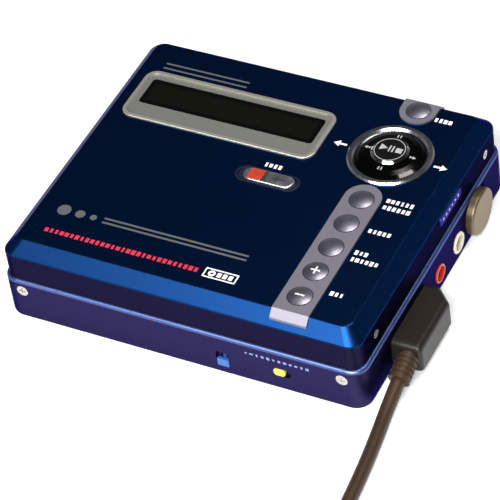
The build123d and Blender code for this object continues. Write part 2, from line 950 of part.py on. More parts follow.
def jack(y, ring_radius):
    """Round socket: body on the board, nose through the wall, blind bore."""
    face = half_width + jack_stand_out
    back = face - jack_bore_length - 1.2
    nose = rod_x(board_edge + slide_gap, face, y, socket_z, ring_radius)
    nose = chamfer(nose.faces().sort_by(Axis.X)[-1].edges(), 0.15)
    y_span = (y - jack_body_width / 2, y + jack_body_width / 2)
    body = block((back, inner_x - 0.1), y_span, (board_high, socket_z + jack_bore_radius + 0.5))
    return nose + body - rod_x(face - jack_bore_length, face + 1, y, socket_z, jack_bore_radius)


def make_data_socket():
    """Flat multi-pin socket that the data plug goes into."""
    right = half_width - 0.3
    left = inner_x - data_socket_depth
    half = data_mouth_width / 2 - run_gap
    z_span = (data_z - data_mouth_height / 2 + run_gap, data_z + data_mouth_height / 2 - run_gap)
    shell = block((left, right), (data_y - half, data_y + half), z_span)
    shell += block((left, inner_x - 0.1), (data_y - half, data_y + half), (board_high, z_span[1]))
    room_y = (data_y - tongue_width / 2 - run_gap, data_y + tongue_width / 2 + run_gap)
    room_z = (data_z - tongue_height / 2 - run_gap, data_z + tongue_height / 2 + run_gap)
    return shell - block((left + socket_shell, right + 1), room_y, room_z)


# ------------------------------------------------------------ Front switches
def wall_switch(x_span, z_span, stem_x, stem_z, radius):
    """Slider in the front wall: knob in its recess, stem, plate behind the wall."""
    floor = -half_depth + recess_depth
    face = -half_depth - switch_stand_out
    plan = RectangleRounded(x_span[1] - x_span[0], z_span[1] - z_span[0], radius)
    place = Pos(sum(x_span) / 2, floor - run_gap, sum(z_span) / 2) * Rot(90, 0, 0)
    knob = place * extrude(plan, floor - run_gap - face)
    knob = fillet(knob.faces().sort_by(Axis.Y)[0].edges(), 0.15)
    inside = -inner_y + run_gap
    stem = block(stem_x, (floor - 0.1, inside + 0.1), stem_z)
    plate = block(x_span, (inside, inside + 0.5), z_span)
    return knob + stem + plate


def make_mode_switch():
    """Slider that moves up and down in the recess on the left."""
    half = mode_switch_width / 2 - slide_gap
    low = mode_recess_low + slide_gap
    return wall_switch(
        (mode_switch_x - half, mode_switch_x + half),
        (low, low + mode_knob_height),
        (mode_switch_x - 0.5, mode_switch_x + 0.5),
        (mode_stem_z - 0.4, mode_stem_z + 0.4),
        0.25,
    )


def make_hold_switch():
    """Small slider that moves sideways in the oval recess."""
    left = hold_recess_left + slide_gap
    half = hold_recess_height / 2 - slide_gap
    return wall_switch(
        (left, left + hold_knob_width),
        (hold_switch_z - half, hold_switch_z + half),
        (hold_stem_x - 0.45, hold_stem_x + 0.45),
        (hold_switch_z - 0.3, hold_switch_z + 0.3),
        half * 0.9,
    )


# ------------------------------------------------------- Open knob and latch
def make_open_knob():
    """Rounded knob on the right side, with a stem through the wall."""
    left = half_width + slide_gap
    corner = min(open_knob_length, open_knob_height) / 2 - slide_gap
    plan = RectangleRounded(open_knob_length, open_knob_height, corner)
    knob = Plane.YZ.offset(left) * Pos(open_knob_y, open_knob_z) * extrude(plan, open_knob_thickness)
    knob = fillet(knob.faces().sort_by(Axis.X)[-1].edges(), 0.6)
    stem_left = latch_bar_x + latch_bar_thickness / 2
    y_span = (open_knob_y - stem_depth / 2, open_knob_y + stem_depth / 2)
    return knob + block((stem_left, left + 0.3), y_span, (latch_bar_low, latch_bar_high))


def make_latch_bar():
    """Bar along the right wall that carries the hook up through the deck."""
    half = latch_bar_thickness / 2
    post_back = latch_post_front + latch_post_depth
    nose_front = latch_post_front - latch_hook_reach
    outline = [
        (latch_post_front, latch_bar_low),
        (open_knob_y + stem_depth / 2, latch_bar_low),
        (open_knob_y + stem_depth / 2, latch_bar_high),
        (post_back, latch_bar_high),
        (post_back, latch_hook_high),
        (nose_front + 0.5, latch_hook_high),
        (nose_front, latch_hook_low + 0.2),
        (nose_front, latch_hook_low),
        (latch_post_front, latch_hook_low),
    ]
    return side_prism(outline, latch_bar_x - half, latch_bar_x + half)


def make_latch_spring():
    """Wire spring, folded flat, between its post and the latch bar."""
    post = latch_post_front - 5.5
    end = latch_post_front - run_gap
    folds = 5
    step = (end - post - 0.3) / folds
    low = latch_bar_low + 0.2
    high = latch_bar_high - 0.2
    points = [(post + 0.15, low)]
    for number in range(folds):
        y = post + 0.15 + step * number
        points.append((y, high if number % 2 == 0 else low))
        points.append((y + step, high if number % 2 == 0 else low))
    points.append((points[-1][0], (low + high) / 2))
    wire = trace(Polyline(*points), 0.3)
    return Plane.YZ.offset(latch_bar_x - 0.15) * extrude(wire, 0.3)


# ------------------------------------------------------------- Disc drive
def make_spindle_motor():
    """Flat motor under the deck."""
    body = disc(0, 0, motor_radius, motor_low, deck_low)
    body = fillet(edges_at(body, motor_low), 0.4)
    return body - disc(0, 0, spindle_radius + run_gap, motor_low + 0.4, deck_high)


def make_turntable():
    """Turntable on its shaft: it turns as one piece."""
    low = deck_high + slide_gap
    return turned(
        [
            (0, motor_low + 0.45),
            (spindle_radius, motor_low + 0.45),
            (spindle_radius, low),
            (turntable_radius, low),
            (turntable_radius, low + 0.5),
            (turntable_boss_radius, low + 0.7),
            (turntable_boss_radius, low + 1.2),
            (turntable_nose_radius, low + 1.3),
            (turntable_nose_radius - 0.4, low + 2.0),
            (0, low + 2.0),
        ]
    )


def make_pickup_sled():
    """Sled on its two guide rods, with the arm that follows the lead screw."""
    front = sub_guide_y - 1.3
    back = main_guide_y + 1.3
    body = block((sled_left, sled_right), (front, back), (sled_low, sled_high))
    body = chamfer(body.edges().filter_by(Axis.Z), 1.0)
    body += disc(lens_x, 0, 3.1, sled_high - 0.1, sled_high + 0.9)
    body += block((lens_x - 2, lens_x + 2), (screw_y - 0.9, front + 0.2), (sled_low, screw_arm_high))
    ends = (sled_left - 1, sled_right + 1)
    body -= rod_x(*ends, main_guide_y, guide_z, guide_radius + run_gap)
    return body - rod_x(*ends, sub_guide_y, guide_z, guide_radius + run_gap)


def make_objective_lens():
    """Small domed lens on top of the sled."""
    low = sled_high + 0.9
    barrel = disc(lens_x, 0, 2.2, low, low + 0.5)
    return fillet(edges_at(barrel, low + 0.5), 0.4)


def make_guide_rods():
    """Main and second guide rod."""
    rods = [rod_x(guide_left, guide_right, y, guide_z, guide_radius) for y in (main_guide_y, sub_guide_y)]
    return all_of(rods)


def gear_outline(radius, teeth, root):
    """Points of a plain gear, as (y, z) about its own centre."""
    points = []
    for tooth in range(teeth):
        for share, reach in ((0.0, root), (0.2, root), (0.35, radius), (0.65, radius), (0.8, root)):
            turn = 2 * math.pi * (tooth + share) / teeth
            points.append((reach * math.cos(turn), reach * math.sin(turn)))
    return points


def gear(radius, teeth, y, z):
    """Gear blank with its teeth, in the gears' common plane."""
    points = [(y + a, z + b) for a, b in gear_outline(radius, teeth, radius - tooth_depth)]
    return side_prism(points, gear_left, gear_left + gear_thickness)


def make_lead_screw():
    """Lead screw with its gear on the right end; rings stand for the two-start thread."""
    right = bracket_left + bracket_thickness
    screw = rod_x(guide_left, right, screw_y, guide_z, lead_screw_radius)
    first = guide_left + 2 * thread_ring_pitch
    rings = int((guide_right - 2 * thread_ring_pitch - first) / thread_ring_pitch)
    for number in range(rings):
        x = first + number * thread_ring_pitch
        ring = rod_x(x, x + thread_ring_width, screw_y, guide_z, lead_screw_radius + 0.1)
        screw -= ring - rod_x(x - 1, x + 1, screw_y, guide_z, lead_screw_radius - 0.2)
    return screw + gear(screw_gear_radius, screw_gear_teeth, screw_y, guide_z)


def make_idler_gear():
    """Idler on its stub."""
    wheel = gear(idler_radius, idler_teeth, idler_y, idler_z)
    return wheel - rod_x(gear_left - 1, 0, idler_y, idler_z, idler_pin_radius + run_gap)


def make_motor_pinion():
    """Pinion on the sled motor's shaft."""
    wheel = gear(pinion_radius, pinion_teeth, sled_motor_y, sled_motor_z)
    return wheel - rod_x(gear_left - 1, 0, sled_motor_y, sled_motor_z, sled_motor_shaft_radius + run_gap)


def make_sled_motor():
    """Small round motor on the bracket."""
    left = bracket_left + bracket_thickness
    body = rod_x(left, left + sled_motor_length, sled_motor_y, sled_motor_z, sled_motor_radius)
    return body + rod_x(gear_left - 0.1, left + 0.1, sled_motor_y, sled_motor_z, sled_motor_shaft_radius)


# --------------------------------------------------------- Cartridge holder
def make_cartridge_holder():
    """Sheet sleeve with an open mouth at the front and a cut for the write head."""
    outer = holder_x + holder_sheet
    front = cartridge_front + 0.6
    back = cartridge_back - 0.3
    wall_back = holder_pivot_y + 1.0
    sleeve = block((-outer, outer), (front, back), (holder_top, holder_high))
    wall = block((holder_x, outer), (front, wall_back), (holder_low, holder_high))
    lip_x = (outer - holder_lip, outer)
    lip = block(lip_x, (front, holder_pivot_y - 1.0), (holder_low, holder_low + holder_sheet))
    sleeve += both_sides(wall + lip)
    head_x = (lens_x - sled_travel - 3.2, lens_x + 3.6)
    sleeve -= block(head_x, (-head_slot_half, head_slot_half), (holder_top - 1, holder_high + 1))
    hub = disc(0, 0, 6.0, holder_top - 1, holder_high + 1)
    bores = both_sides(
        rod_x(holder_x - 1, outer + 1, holder_pivot_y, holder_pivot_z, holder_pin_radius + run_gap)
    )
    return sleeve - hub - bores


# ----------------------------------------------------------------- Lid shell
def plate_side(end, wrap_sign, offset):
    """Outline, in Y and Z, of a trim plate that folds over the lid's bevel."""
    slope = bevel_height / bevel_width
    edge = wrap_sign * (lid_y - bevel_width)
    fold = edge + wrap_sign * 0.25
    tip = fold + wrap_sign * strip_wrap
    drop = strip_wrap * slope
    thickness = strip_rise + strip_seat
    top = plate_high
    return [
        (end, top + offset),
        (fold, top + offset),
        (tip, top - drop + offset),
        (tip, top - drop - thickness),
        (fold, top - thickness),
        (end, top - thickness),
    ]


def plate_body(tip_y, wrap_sign, grow, offset):
    """Trim plate with a round end at tip_y and the other end over the bevel."""
    half = strip_width / 2 + grow
    tip = tip_y - wrap_sign * grow
    centre = tip + wrap_sign * half
    far = wrap_sign * (half_depth + 1)
    y_span = sorted((centre, far))
    plan = disc(column_x, centre, half, 0, 2 * case_height)
    plan += block((column_x - half, column_x + half), y_span, (0, 2 * case_height))
    side = side_prism(plate_side(tip, wrap_sign, offset), column_x - half - 1, column_x + half + 1)
    return plan & side


def button_spots():
    """Centres of the five buttons on the strip."""
    return [(column_x, button_first_y - number * button_pitch) for number in range(5)]


def lid_top_cuts():
    """Seats and holes in the lid's top for the plates, ring, window and switch."""
    through = (lid_ceiling - 1, case_height + 1)
    cuts = [plate_body(strip_back, -1, run_gap, 1.0), plate_body(menu_y - strip_width / 2, 1, run_gap, 1.0)]
    cuts += [disc(x, y, button_stem_radius + press_gap, *through) for x, y in button_spots()]
    cuts.append(disc(column_x, menu_y, button_stem_radius + press_gap, *through))
    cuts.append(disc(column_x, control_y, skirt_outer + run_gap, *through))
    cuts.append(disc(column_x, control_y, ring_radius + run_gap, case_height - ring_seat, case_height + 1))
    seat_x = (bezel_left - run_gap, bezel_right + run_gap)
    seat_y = (bezel_front - run_gap, bezel_back + run_gap)
    cuts.append(tile(seat_x, seat_y, bezel_radius + run_gap, case_height - bezel_seat, case_height + 1))
    window_x = (window_left - run_gap, window_right + run_gap)
    window_y = (window_front - run_gap, window_back + run_gap)
    cuts.append(tile(window_x, window_y, window_radius + run_gap, *through))
    cuts.append(record_pill(run_gap, cup_low, case_height + 1))
    cuts.append(record_slot(*through))
    return cuts


def record_pill(grow, low, high):
    """Pill-shaped prism round the record switch."""
    plan = SlotOverall(record_cup_length + 2 * grow, record_cup_width + 2 * grow)
    return extrude(Pos(record_x, record_y, low) * plan, high - low)


def record_slot(low, high):
    """Slot under the record knob for its stem."""
    x_span = (record_knob_x - 0.5 - record_travel - slide_gap, record_knob_x + 0.5 + slide_gap)
    return block(x_span, (record_y - 0.7, record_y + 0.7), (low, high))


def lid_screw(side_x, y):
    """Small screw through the lid's side wall into the frame's flange."""
    face = side_x * (lid_x - run_gap)
    seat = face - side_x * lid_screw_head_height
    tip = seat - side_x * lid_screw_length
    head = rod_x(*sorted((face, seat)), y, lid_screw_z, lid_screw_head_radius)
    slot_x = sorted((face, face - side_x * lid_screw_head_height / 2))
    head -= block(slot_x, (y - 0.7, y + 0.7), (lid_screw_z - 0.12, lid_screw_z + 0.12))
    head -= block(slot_x, (y - 0.12, y + 0.12), (lid_screw_z - 0.7, lid_screw_z + 0.7))
    return head + rod_x(*sorted((seat, tip)), y, lid_screw_z, lid_screw_radius)


def lid_screw_seats():
    """Holes and counterbores for the lid screws."""
    cuts = []
    for side_x in (-1, 1):
        for y in lid_screw_spots:
            far = side_x * (lid_x + 1)
            seat = side_x * (lid_x - run_gap - lid_screw_head_height)
            inside = side_x * (cavity_x - 1)
            cuts.append(rod_x(*sorted((seat, far)), y, lid_screw_z, lid_screw_head_radius + run_gap))
            cuts.append(rod_x(*sorted((inside, far)), y, lid_screw_z, lid_screw_radius + run_gap))
    return cuts


def make_lid_shell():
    """Lid cover: flat top, beveled edge all round, walls down to the split."""
    shell = beveled_slab(
        lid_x, lid_y, lid_radius, lid_low, case_height, bevel_width, bevel_height, bevel_top_radius
    )
    shell = fillet(edges_at(shell, case_height), bevel_softening)
    shell = fillet(edges_at(shell, case_height - bevel_height), bevel_softening)
    shell -= beveled_slab(
        cavity_x,
        cavity_y,
        cavity_radius,
        lid_low - 1,
        lid_ceiling,
        bevel_width - bevel_relief,
        bevel_height - bevel_relief,
        bevel_top_radius - lid_wall,
    )
    for span in knuckle_spans(lid_knuckle_length / 2, knuckle_step + base_knuckle_length + press_gap):
        notch_z = (lid_low - 1, hinge_z + knuckle_radius + press_gap)
        shell -= block(span, (cavity_y - 1, half_depth + 1), notch_z)
    for hinge in (-hinge_offset, hinge_offset):
        half = lid_knuckle_length / 2
        shell += rod_x(hinge - half, hinge + half, hinge_y, hinge_z, knuckle_radius)
        shell -= rod_x(hinge - half - 1, hinge + half + 1, hinge_y, hinge_z, hinge_pin_radius + run_gap)
    return shell - lid_top_cuts() - lid_screw_seats()


def make_lid_screws():
    """Four screws in the lid's side walls."""
    return all_of(lid_screw(side_x, y) for side_x in (-1, 1) for y in lid_screw_spots)


def make_lid_frame():
    """Sheet frame inside the lid: plate, side flanges, catch and rail brackets."""
    half_x = cavity_x - slide_gap
    half_y = cavity_y - slide_gap
    plate = slab(half_x, half_y, cavity_radius - slide_gap, frame_low, frame_high)
    head_x = (lens_x - sled_travel - 5.0, lens_x + 5.0)
    head_y = head_slot_half + head_slot_room
    plate -= block(head_x, (-head_y, head_y), (frame_low - 1, frame_high + 1))
    flange_x = (cavity_x - flange_sheet, cavity_x)
    flange_y = (-cavity_y + cavity_radius + 1, cavity_y - cavity_radius - 1.5)
    flange = block(flange_x, flange_y, (flange_low, frame_high))
    flange -= [
        rod_x(flange_x[0] - 1, flange_x[1] + 1, y, lid_screw_z, lid_screw_radius)
        for y in lid_screw_spots
    ]
    plate += both_sides(flange)
    catch_back = latch_post_front - latch_hook_reach - 0.2
    catch_x = (latch_bar_x - latch_bar_thickness / 2, cavity_x - 0.1)
    catch_z = (flange_low + 0.1, latch_hook_low - 0.2)
    plate += block(catch_x, (catch_back - 1.9, catch_back), catch_z)
    ear_y = (head_rail_y - 0.9, head_rail_y + 0.9)
    for x in (head_rail_left, head_rail_right):
        ear = block((x - 0.3, x + 0.3), ear_y, (frame_high - 0.1, head_rail_z + 0.8))
        plate += ear - rod_x(x - 1, x + 1, head_rail_y, head_rail_z, head_rail_radius)
    return plate


# --------------------------------------------------------- Inside the lid
def make_lid_board():
    """Switch board, with a tongue to the left under the display."""
    z_span = (frame_high, lid_board_high)
    right = cavity_x - bevel_width + 0.6
    left = head_rail_right + 1.2
    body = block((left, right), (-cavity_y + 2.2, cavity_y - 2.2), z_span)
    return body + block((display_left, left + 1.0), (display_front, display_back), z_span)


def make_lid_switches():
    """Snap domes under the keys and the record switch's body, on the board."""
    def dome(x, y, radius):
        cap = disc(x, y, radius, lid_board_high, dome_switch_high)
        return chamfer(edges_at(cap, dome_switch_high), 0.2)

    domes = [dome(x, y, dome_switch_radius) for x, y in button_spots()]
    domes += [dome(column_x, y, dome_switch_radius) for y in (menu_y, control_y)]
    reach = skirt_inner - 1.2
    for number in range(4):
        turn = math.pi / 2 * number
        domes.append(dome(column_x + reach * math.cos(turn), control_y + reach * math.sin(turn), 1.3))
    middle = record_knob_x - record_travel / 2
    x_span = (middle - 3, middle + 3)
    y_span = (record_y - 1.5, record_y + 1.5)
    domes.append(block(x_span, y_span, (lid_board_high, lid_board_high + record_switch_height)))
    return all_of(domes)


def make_display_module():
    """Liquid crystal panel in its frame, under the window."""
    high = lid_ceiling - slide_gap
    frame = block((display_left, display_right), (display_front, display_back), (lid_board_high, high))
    border = 0.5
    glass_x = (window_left - border, window_right + border)
    glass_y = (window_front - border, window_back + border)
    return frame - block(glass_x, glass_y, (high - 0.15, high + 1))


# ------------------------------------------------------- Trim on the lid's top
def make_display_bezel():
    """Frame round the window with a raised outer rim."""
    low = case_height - bezel_seat
    high = case_height + bezel_rise
    frame = tile((bezel_left, bezel_right), (bezel_front, bezel_back), bezel_radius, low, high)
    frame = fillet(edges_at(frame, high), 0.3)
    inner_x_span = (bezel_left + bezel_rim, bezel_right - bezel_rim)
    inner_y_span = (bezel_front + bezel_rim, bezel_back - bezel_rim)
    dish = tile(inner_x_span, inner_y_span, bezel_radius - bezel_rim, case_height + 0.1, high + 1)
    window = tile((window_left, window_right), (window_front, window_back), window_radius, low - 1, high + 1)
    return frame - dish - window


def make_display_lens():
    """Clear window, flush with the bezel's inner face."""
    high = case_height
    return tile(
        (window_left, window_right), (window_front, window_back), window_radius, high - lens_thickness, high
    )


def make_strip_plate():
    """Long plate under the five buttons, folded over the front bevel."""
    plate = plate_body(strip_back, -1, 0, 0)
    return plate - [disc(x, y, button_radius + press_gap, 0, 2 * case_height) for x, y in button_spots()]


def make_menu_plate():
    """Short plate at the back with one button, folded over the back bevel."""
    plate = plate_body(menu_y - strip_width / 2, 1, 0, 0)
    return plate - disc(column_x, menu_y, button_radius + press_gap, 0, 2 * case_height)


def push_button(x, y):
    """Round key: domed cap, stem and the flange that keeps it in the lid."""
    flange_high = lid_ceiling - press_gap
    cap_high = button_low + button_rim_height
    top = button_low + button_dome_height
    outline = Polyline(
        (0, top),
        (0, button_foot),
        (button_stem_radius, button_foot),
        (button_stem_radius, flange_high - 0.4),
        (button_flange_radius, flange_high - 0.4),
        (button_flange_radius, flange_high),
        (button_stem_radius, flange_high),
        (button_stem_radius, button_low),
        (button_radius, button_low),
        (button_radius, cap_high),
    )
    rise = top - cap_high
    ball = (button_radius**2 + rise**2) / (2 * rise)
    middle = button_radius / 2
    middle_high = top - ball + math.sqrt(ball**2 - middle**2)
    dome = ThreePointArc((button_radius, cap_high), (middle, middle_high), (0, top))
    profile = Plane.XZ * make_face(outline + dome)
    return Pos(x, y, 0) * revolve(profile, Axis.Z)


# -------------------------------------------------------------- Control pad
def make_control_ring():
    """Bright ring with a skirt down through the lid."""
    low = case_height - ring_seat
    high = case_height + ring_rise
    ring = turned(
        [
            (skirt_inner, skirt_low),
            (skirt_outer, skirt_low),
            (skirt_outer, low),
            (ring_radius, low),
            (ring_radius, high - 0.35),
            (ring_radius - 0.35, high),
            (skirt_inner + 0.45, high),
            (skirt_inner, high - 0.45),
        ]
    )
    pivots = rod_y(0, -ring_radius - 1, ring_radius + 1, rocker_z, rocker_pin_radius + run_gap)
    return Pos(column_x, control_y, 0) * (ring - pivots)


def make_rocker_ring():
    """Ring under the key that rocks left and right on two short pins."""
    ring = disc(0, 0, rocker_outer, rocker_z - 0.2, rocker_z + 0.2)
    ring -= disc(0, 0, rocker_inner, 0, case_height)
    inner_end = rocker_outer - 0.3
    outer_end = skirt_outer - run_gap
    ring += rod_y(0, inner_end, outer_end, rocker_z, rocker_pin_radius)
    ring += rod_y(0, -outer_end, -inner_end, rocker_z, rocker_pin_radius)
    return Pos(column_x, control_y, 0) * ring


def make_control_key():
    """Four-way key, domed, which rocks to the front and back on the ring below."""
    rim_low = key_low
    rim_high = case_height + 0.15
    key = turned(
        [
            (key_bore_radius, rim_low),
            (key_radius, rim_low),
            (key_radius, rim_high),
            (key_radius - 0.8, rim_high + key_dome * 0.45),
            (key_radius - 1.9, rim_high + key_dome * 0.8),
            (key_bore_radius, rim_high + key_dome),
        ]
    )
    ridge = block((5.8, 7.0), (-0.25, 0.25), (rocker_z + 0.2 + run_gap, rim_low + 0.1))
    return Pos(column_x, control_y, 0) * (key + both_sides(ridge))


def make_centre_button():
    """Centre key of the pad, with a flange under the four-way key."""
    top = case_height + centre_rise
    button = turned(
        [
            (0, button_foot),
            (1.1, button_foot),
            (1.1, rocker_z + 0.05),
            (centre_radius + 0.7, rocker_z + 0.05),
            (centre_radius + 0.7, rocker_z + 0.4),
            (centre_radius, rocker_z + 0.4),
            (centre_radius, top - 0.5),
            (centre_radius - 0.5, top),
            (0, top),
        ]
    )
    return Pos(column_x, control_y, 0) * button


# ------------------------------------------------------------ Record switch
def make_record_cup():
    """Shallow pill-shaped cup that the record knob slides in."""
    cup = record_pill(0, cup_low, case_height + 0.1)
    room = record_pill(-record_cup_wall, cup_low + 0.25, case_height + 1)
    return cup - room - record_slot(cup_low - 1, case_height)


def make_record_knob():
    """Bright pill-shaped knob with its stem."""
    low = cup_low + 0.25 + run_gap
    high = case_height + record_knob_rise
    plan = SlotOverall(record_knob_length, record_knob_width)
    knob = extrude(Pos(record_knob_x, record_y, low) * plan, high - low)
    knob = fillet(edges_at(knob, high), 0.35)
    foot = lid_board_high + record_switch_height + run_gap
    stem = block(
        (record_knob_x - 0.5, record_knob_x + 0.5), (record_y - 0.6, record_y + 0.6), (foot, low + 0.1)
    )
    return knob + stem


def make_side_plate():
    """Small raised plate on the right side of the lid."""
    length = side_plate_back - side_plate_front
    plan = RectangleRounded(length, side_plate_height, side_plate_height * 0.35)
    middle = (side_plate_front + side_plate_back) / 2
    place = Plane.YZ.offset(lid_x) * Pos(middle, side_plate_low + side_plate_height / 2)
    return place * extrude(plan, side_plate_thickness)


# --------------------------------------------------------------- Write head
def make_head_rail():
    """Rod across the lid frame that the write head runs on."""
    left = head_rail_left - 0.3
    right = head_rail_right + 0.3
    return rod_x(left, right, head_rail_y, head_rail_z, head_rail_radius)


def make_head_carriage():
    """Block that slides on the head rail."""
    x_span = (lens_x - carriage_reach, lens_x + carriage_reach)
    z_span = (frame_high + 0.3, head_rail_z + 0.9)
    body = block(x_span, (head_rail_y - 1.4, head_rail_y + 1.4), z_span)
    return body - rod_x(x_span[0] - 1, x_span[1] + 1, head_rail_y, head_rail_z, head_rail_radius + run_gap)


def make_write_head():
    """Leaf arm from the carriage with the head's block at its tip."""
    foot = head_rail_y + 1.4
    high = frame_high + 0.7
    low = holder_high + 0.05
    outline = [
        (foot, high),
        (foot, high - 0.25),
        (foot + 1.2, high - 0.25),
        (-1.4, low),
        (1.5, low),
        (1.5, low + 0.25),
        (-1.3, low + 0.25),
        (foot + 1.3, high),
    ]
    arm = side_prism(outline, lens_x - 1.4, lens_x + 1.4)
    return arm + block((lens_x - 2.2, lens_x + 2.2), (-1.5, 1.5), (holder_top - 0.6, low + 0.1))


# ---------------------------------------------------------------- Data lead
# Route of the free stretch, from the boot's end to the start of the coil.
lead_x = half_width + lead_stand_out
lead_y = plug_front - boot_length * math.cos(math.radians(boot_droop))
lead_z = boot_height - boot_length * math.sin(math.radians(boot_droop))
lead_points = [
    (lead_x, lead_y, lead_z),
    (lead_x, lead_y - 5.3, lead_z - 5.3 * math.tan(math.radians(boot_droop))),
    (lead_x + 1.4, lead_y - 14.2, 1.5),
    (lead_x + 2.8, lead_y - 26.2, 1.5),
    (lead_x + 3.8, lead_y - 41.7, 1.5),
    (lead_x + 4.2, lead_y - 60.2, 1.5),
    (lead_x + 4.2, coil_centre_y + 2 * lead_radius, 1.5),
]
coil_centre_x = lead_points[-1][0] - coil_radius


def make_data_plug():
    """Moulded plug with a cut-off back corner and a tongue into its socket."""
    inner = half_width + slide_gap
    outline = [
        (inner, plug_front),
        (plug_outer, plug_front),
        (plug_outer, plug_back - plug_corner),
        (plug_outer - plug_corner, plug_back),
        (inner, plug_back),
    ]
    body = extrude(Pos(0, 0, plug_low) * make_face(Polyline(*outline, close=True)), plug_high - plug_low)
    outer_corners = body.edges().filter_by(Axis.Z).sort_by(Axis.X)[-3:]
    body = fillet(outer_corners, 1.0)
    top = [edge for edge in edges_at(body, plug_high) if edge.center().X > inner + 0.5]
    body = fillet(top, plug_edge)
    tongue_y = (data_y - tongue_width / 2, data_y + tongue_width / 2)
    tongue_z = (data_z - tongue_height / 2, data_z + tongue_height / 2)
    return body + block((inner - tongue_depth, inner + 0.1), tongue_y, tongue_z)


def make_plug_boot():
    """Ribbed strain relief on the plug's front end, drooping with the lead."""
    rib_radius = boot_radius + boot_rib_height
    boot = rod_y(0, -boot_length, boot_radius, 0, boot_radius)
    boot += rod_y(0, -boot_length, boot_collar - boot_length, 0, rib_radius)
    step = (boot_length - boot_collar) / boot_rib_count
    for number in range(boot_rib_count):
        front = boot_collar - boot_length + step * (number + 0.5)
        boot += rod_y(0, front, front + step / 2, 0, rib_radius)
    boot = Pos(lead_x, plug_front, boot_height) * Rot(boot_droop, 0, 0) * boot
    x_span = (lead_x - 2 * rib_radius, lead_x + 2 * rib_radius)
    return boot & block(x_span, (plug_front - 2 * boot_length, plug_front), (0, case_height))


def lead_radii():
    """Bend radius at each inner point of the lead's route."""
    radii = []
    for before, here, after in zip(lead_points, lead_points[1:], lead_points[2:]):
        arrive = Vector(*here) - Vector(*before)
        leave = Vector(*after) - Vector(*here)
        half_turn = math.radians(arrive.get_angle(leave)) / 2
        radii.append(0.45 * min(arrive.length, leave.length) / math.tan(half_turn))
    return radii


def tube(path, start, direction, radius):
    """Round tube along a path."""
    section = Plane(origin=start, z_dir=direction) * Circle(radius)
    return sweep(section, path=path)


def make_lead():
    """Free stretch of the lead, from the boot down to the floor."""
    radii = lead_radii()
    path = FilletPolyline(*lead_points, radius=radii)
    print("lead bend radii:", [round(radius, 1) for radius in radii])
    droop = math.radians(boot_droop)
    solid = tube(path, lead_points[0], (0, -math.cos(droop), -math.sin(droop)), lead_radius)
    ratio = solid.volume / (math.pi * lead_radius**2 * path.length)
    print("lead length:", round(path.length, 1), "volume ratio:", round(ratio, 4))
    return solid


def coil_place(turned):
    """Point and direction on the coil after turning through an angle in radians."""
    inward = 2 * math.pi * coil_turns
    rate = coil_pitch / (2 * math.pi)
    least = coil_radius - coil_pitch * coil_turns
    if turned <= inward:
        radius, slope, height, climb = coil_radius - rate * turned, -rate, 0.0, 0.0
    elif turned <= inward + math.pi:
        bend = turned - inward
        share = bend / math.pi
        radius = least - rate * (bend - bend**2 / math.pi)
        slope = -rate * (1 - 2 * share)
        height = coil_rise * (3 * share**2 - 2 * share**3)
        climb = coil_rise * 6 * share * (1 - share) / math.pi
    else:
        radius = least + rate * (turned - inward - math.pi)
        slope, height, climb = rate, coil_rise, 0.0
    east, north = math.cos(turned), -math.sin(turned)
    point = Vector(coil_centre_x + radius * east, coil_centre_y + radius * north, lead_radius + height)
    direction = Vector(slope * east + radius * north, slope * north - radius * east, climb)
    return point, direction.normalized()


def biarc(start, start_direction, end, end_direction):
    """Two arcs that join two points with the given directions."""
    across = end - start
    both = start_direction + end_direction
    bend = 2 * (1 - start_direction.dot(end_direction))
    if bend < 1e-6:
        reach = across.dot(across) / (4 * across.dot(end_direction))
    else:
        along = across.dot(both)
        reach = (math.sqrt(along**2 + bend * across.dot(across)) - along) / bend
    first = start + start_direction * reach
    second = end - end_direction * reach
    joint = (first + second) * 0.5
    return [
        Edge.make_tangent_arc(start, start_direction, joint),
        Edge.make_tangent_arc(joint, second - first, end),
    ]


def coil_edges():
    """Straight start, the turns in and out again, and the tail down to its plug."""
    quarters = 4 * (2 * coil_turns) + 1
    west = Vector(-1, 0, 0)
    places = [coil_place(math.pi / 2 * number) for number in range(quarters + 1)]
    places[0] = (places[0][0], Vector(0, -1, 0))
    places[-1] = (places[-1][0], west)
    edges = [Edge.make_line(places[0][0] + Vector(0, 2 * lead_radius, 0), places[0][0])]
    for (start, start_direction), (end, end_direction) in zip(places, places[1:]):
        edges += biarc(start, start_direction, end, end_direction)
    last = places[-1][0]
    low = last + Vector(-tail_length, 0, -tail_drop)
    edges += biarc(last, west, low, west)
    edges.append(Edge.make_line(low, low + west * (2 * lead_radius)))
    return edges


def coil_gap(edges):
    """Least gap between two turns of the coil, measured on points."""
    points = []
    run = 0.0
    for edge in edges:
        count = max(2, int(edge.length / 1.0))
        for number in range(count):
            points.append((run + edge.length * number / count, edge.position_at(number / count)))
        run += edge.length
    least = case_width
    apart = 4 * math.pi * lead_radius
    for number, (here, point) in enumerate(points):
        for there, other in points[number + 1 :]:
            if there - here > apart:
                least = min(least, (point - other).length)
    return least - 2 * lead_radius


def make_lead_coil():
    """Spare length of the lead, wound in and out again in two layers."""
    edges = coil_edges()
    path = Wire(edges)
    start = edges[0].position_at(0)
    solid = tube(path, start, (0, -1, 0), lead_radius)
    ratio = solid.volume / (math.pi * lead_radius**2 * path.length)
    print("coil length:", round(path.length, 1), "volume ratio:", round(ratio, 4))
    print("coil least gap:", round(coil_gap(edges), 2))
    return solid


def host_plug_start():
    """Point where the far plug takes the end of the lead."""
    return coil_edges()[-1].position_at(1)


def make_host_plug():
    """Moulded body of the far plug, lying on the floor beside the coil."""
    start = host_plug_start()
    y_span = (start.Y - host_body_width / 2, start.Y + host_body_width / 2)
    body = block((start.X - host_body_length, start.X), y_span, (0, host_body_height))
    return fillet(body.edges().filter_by(Axis.X), host_body_edge)


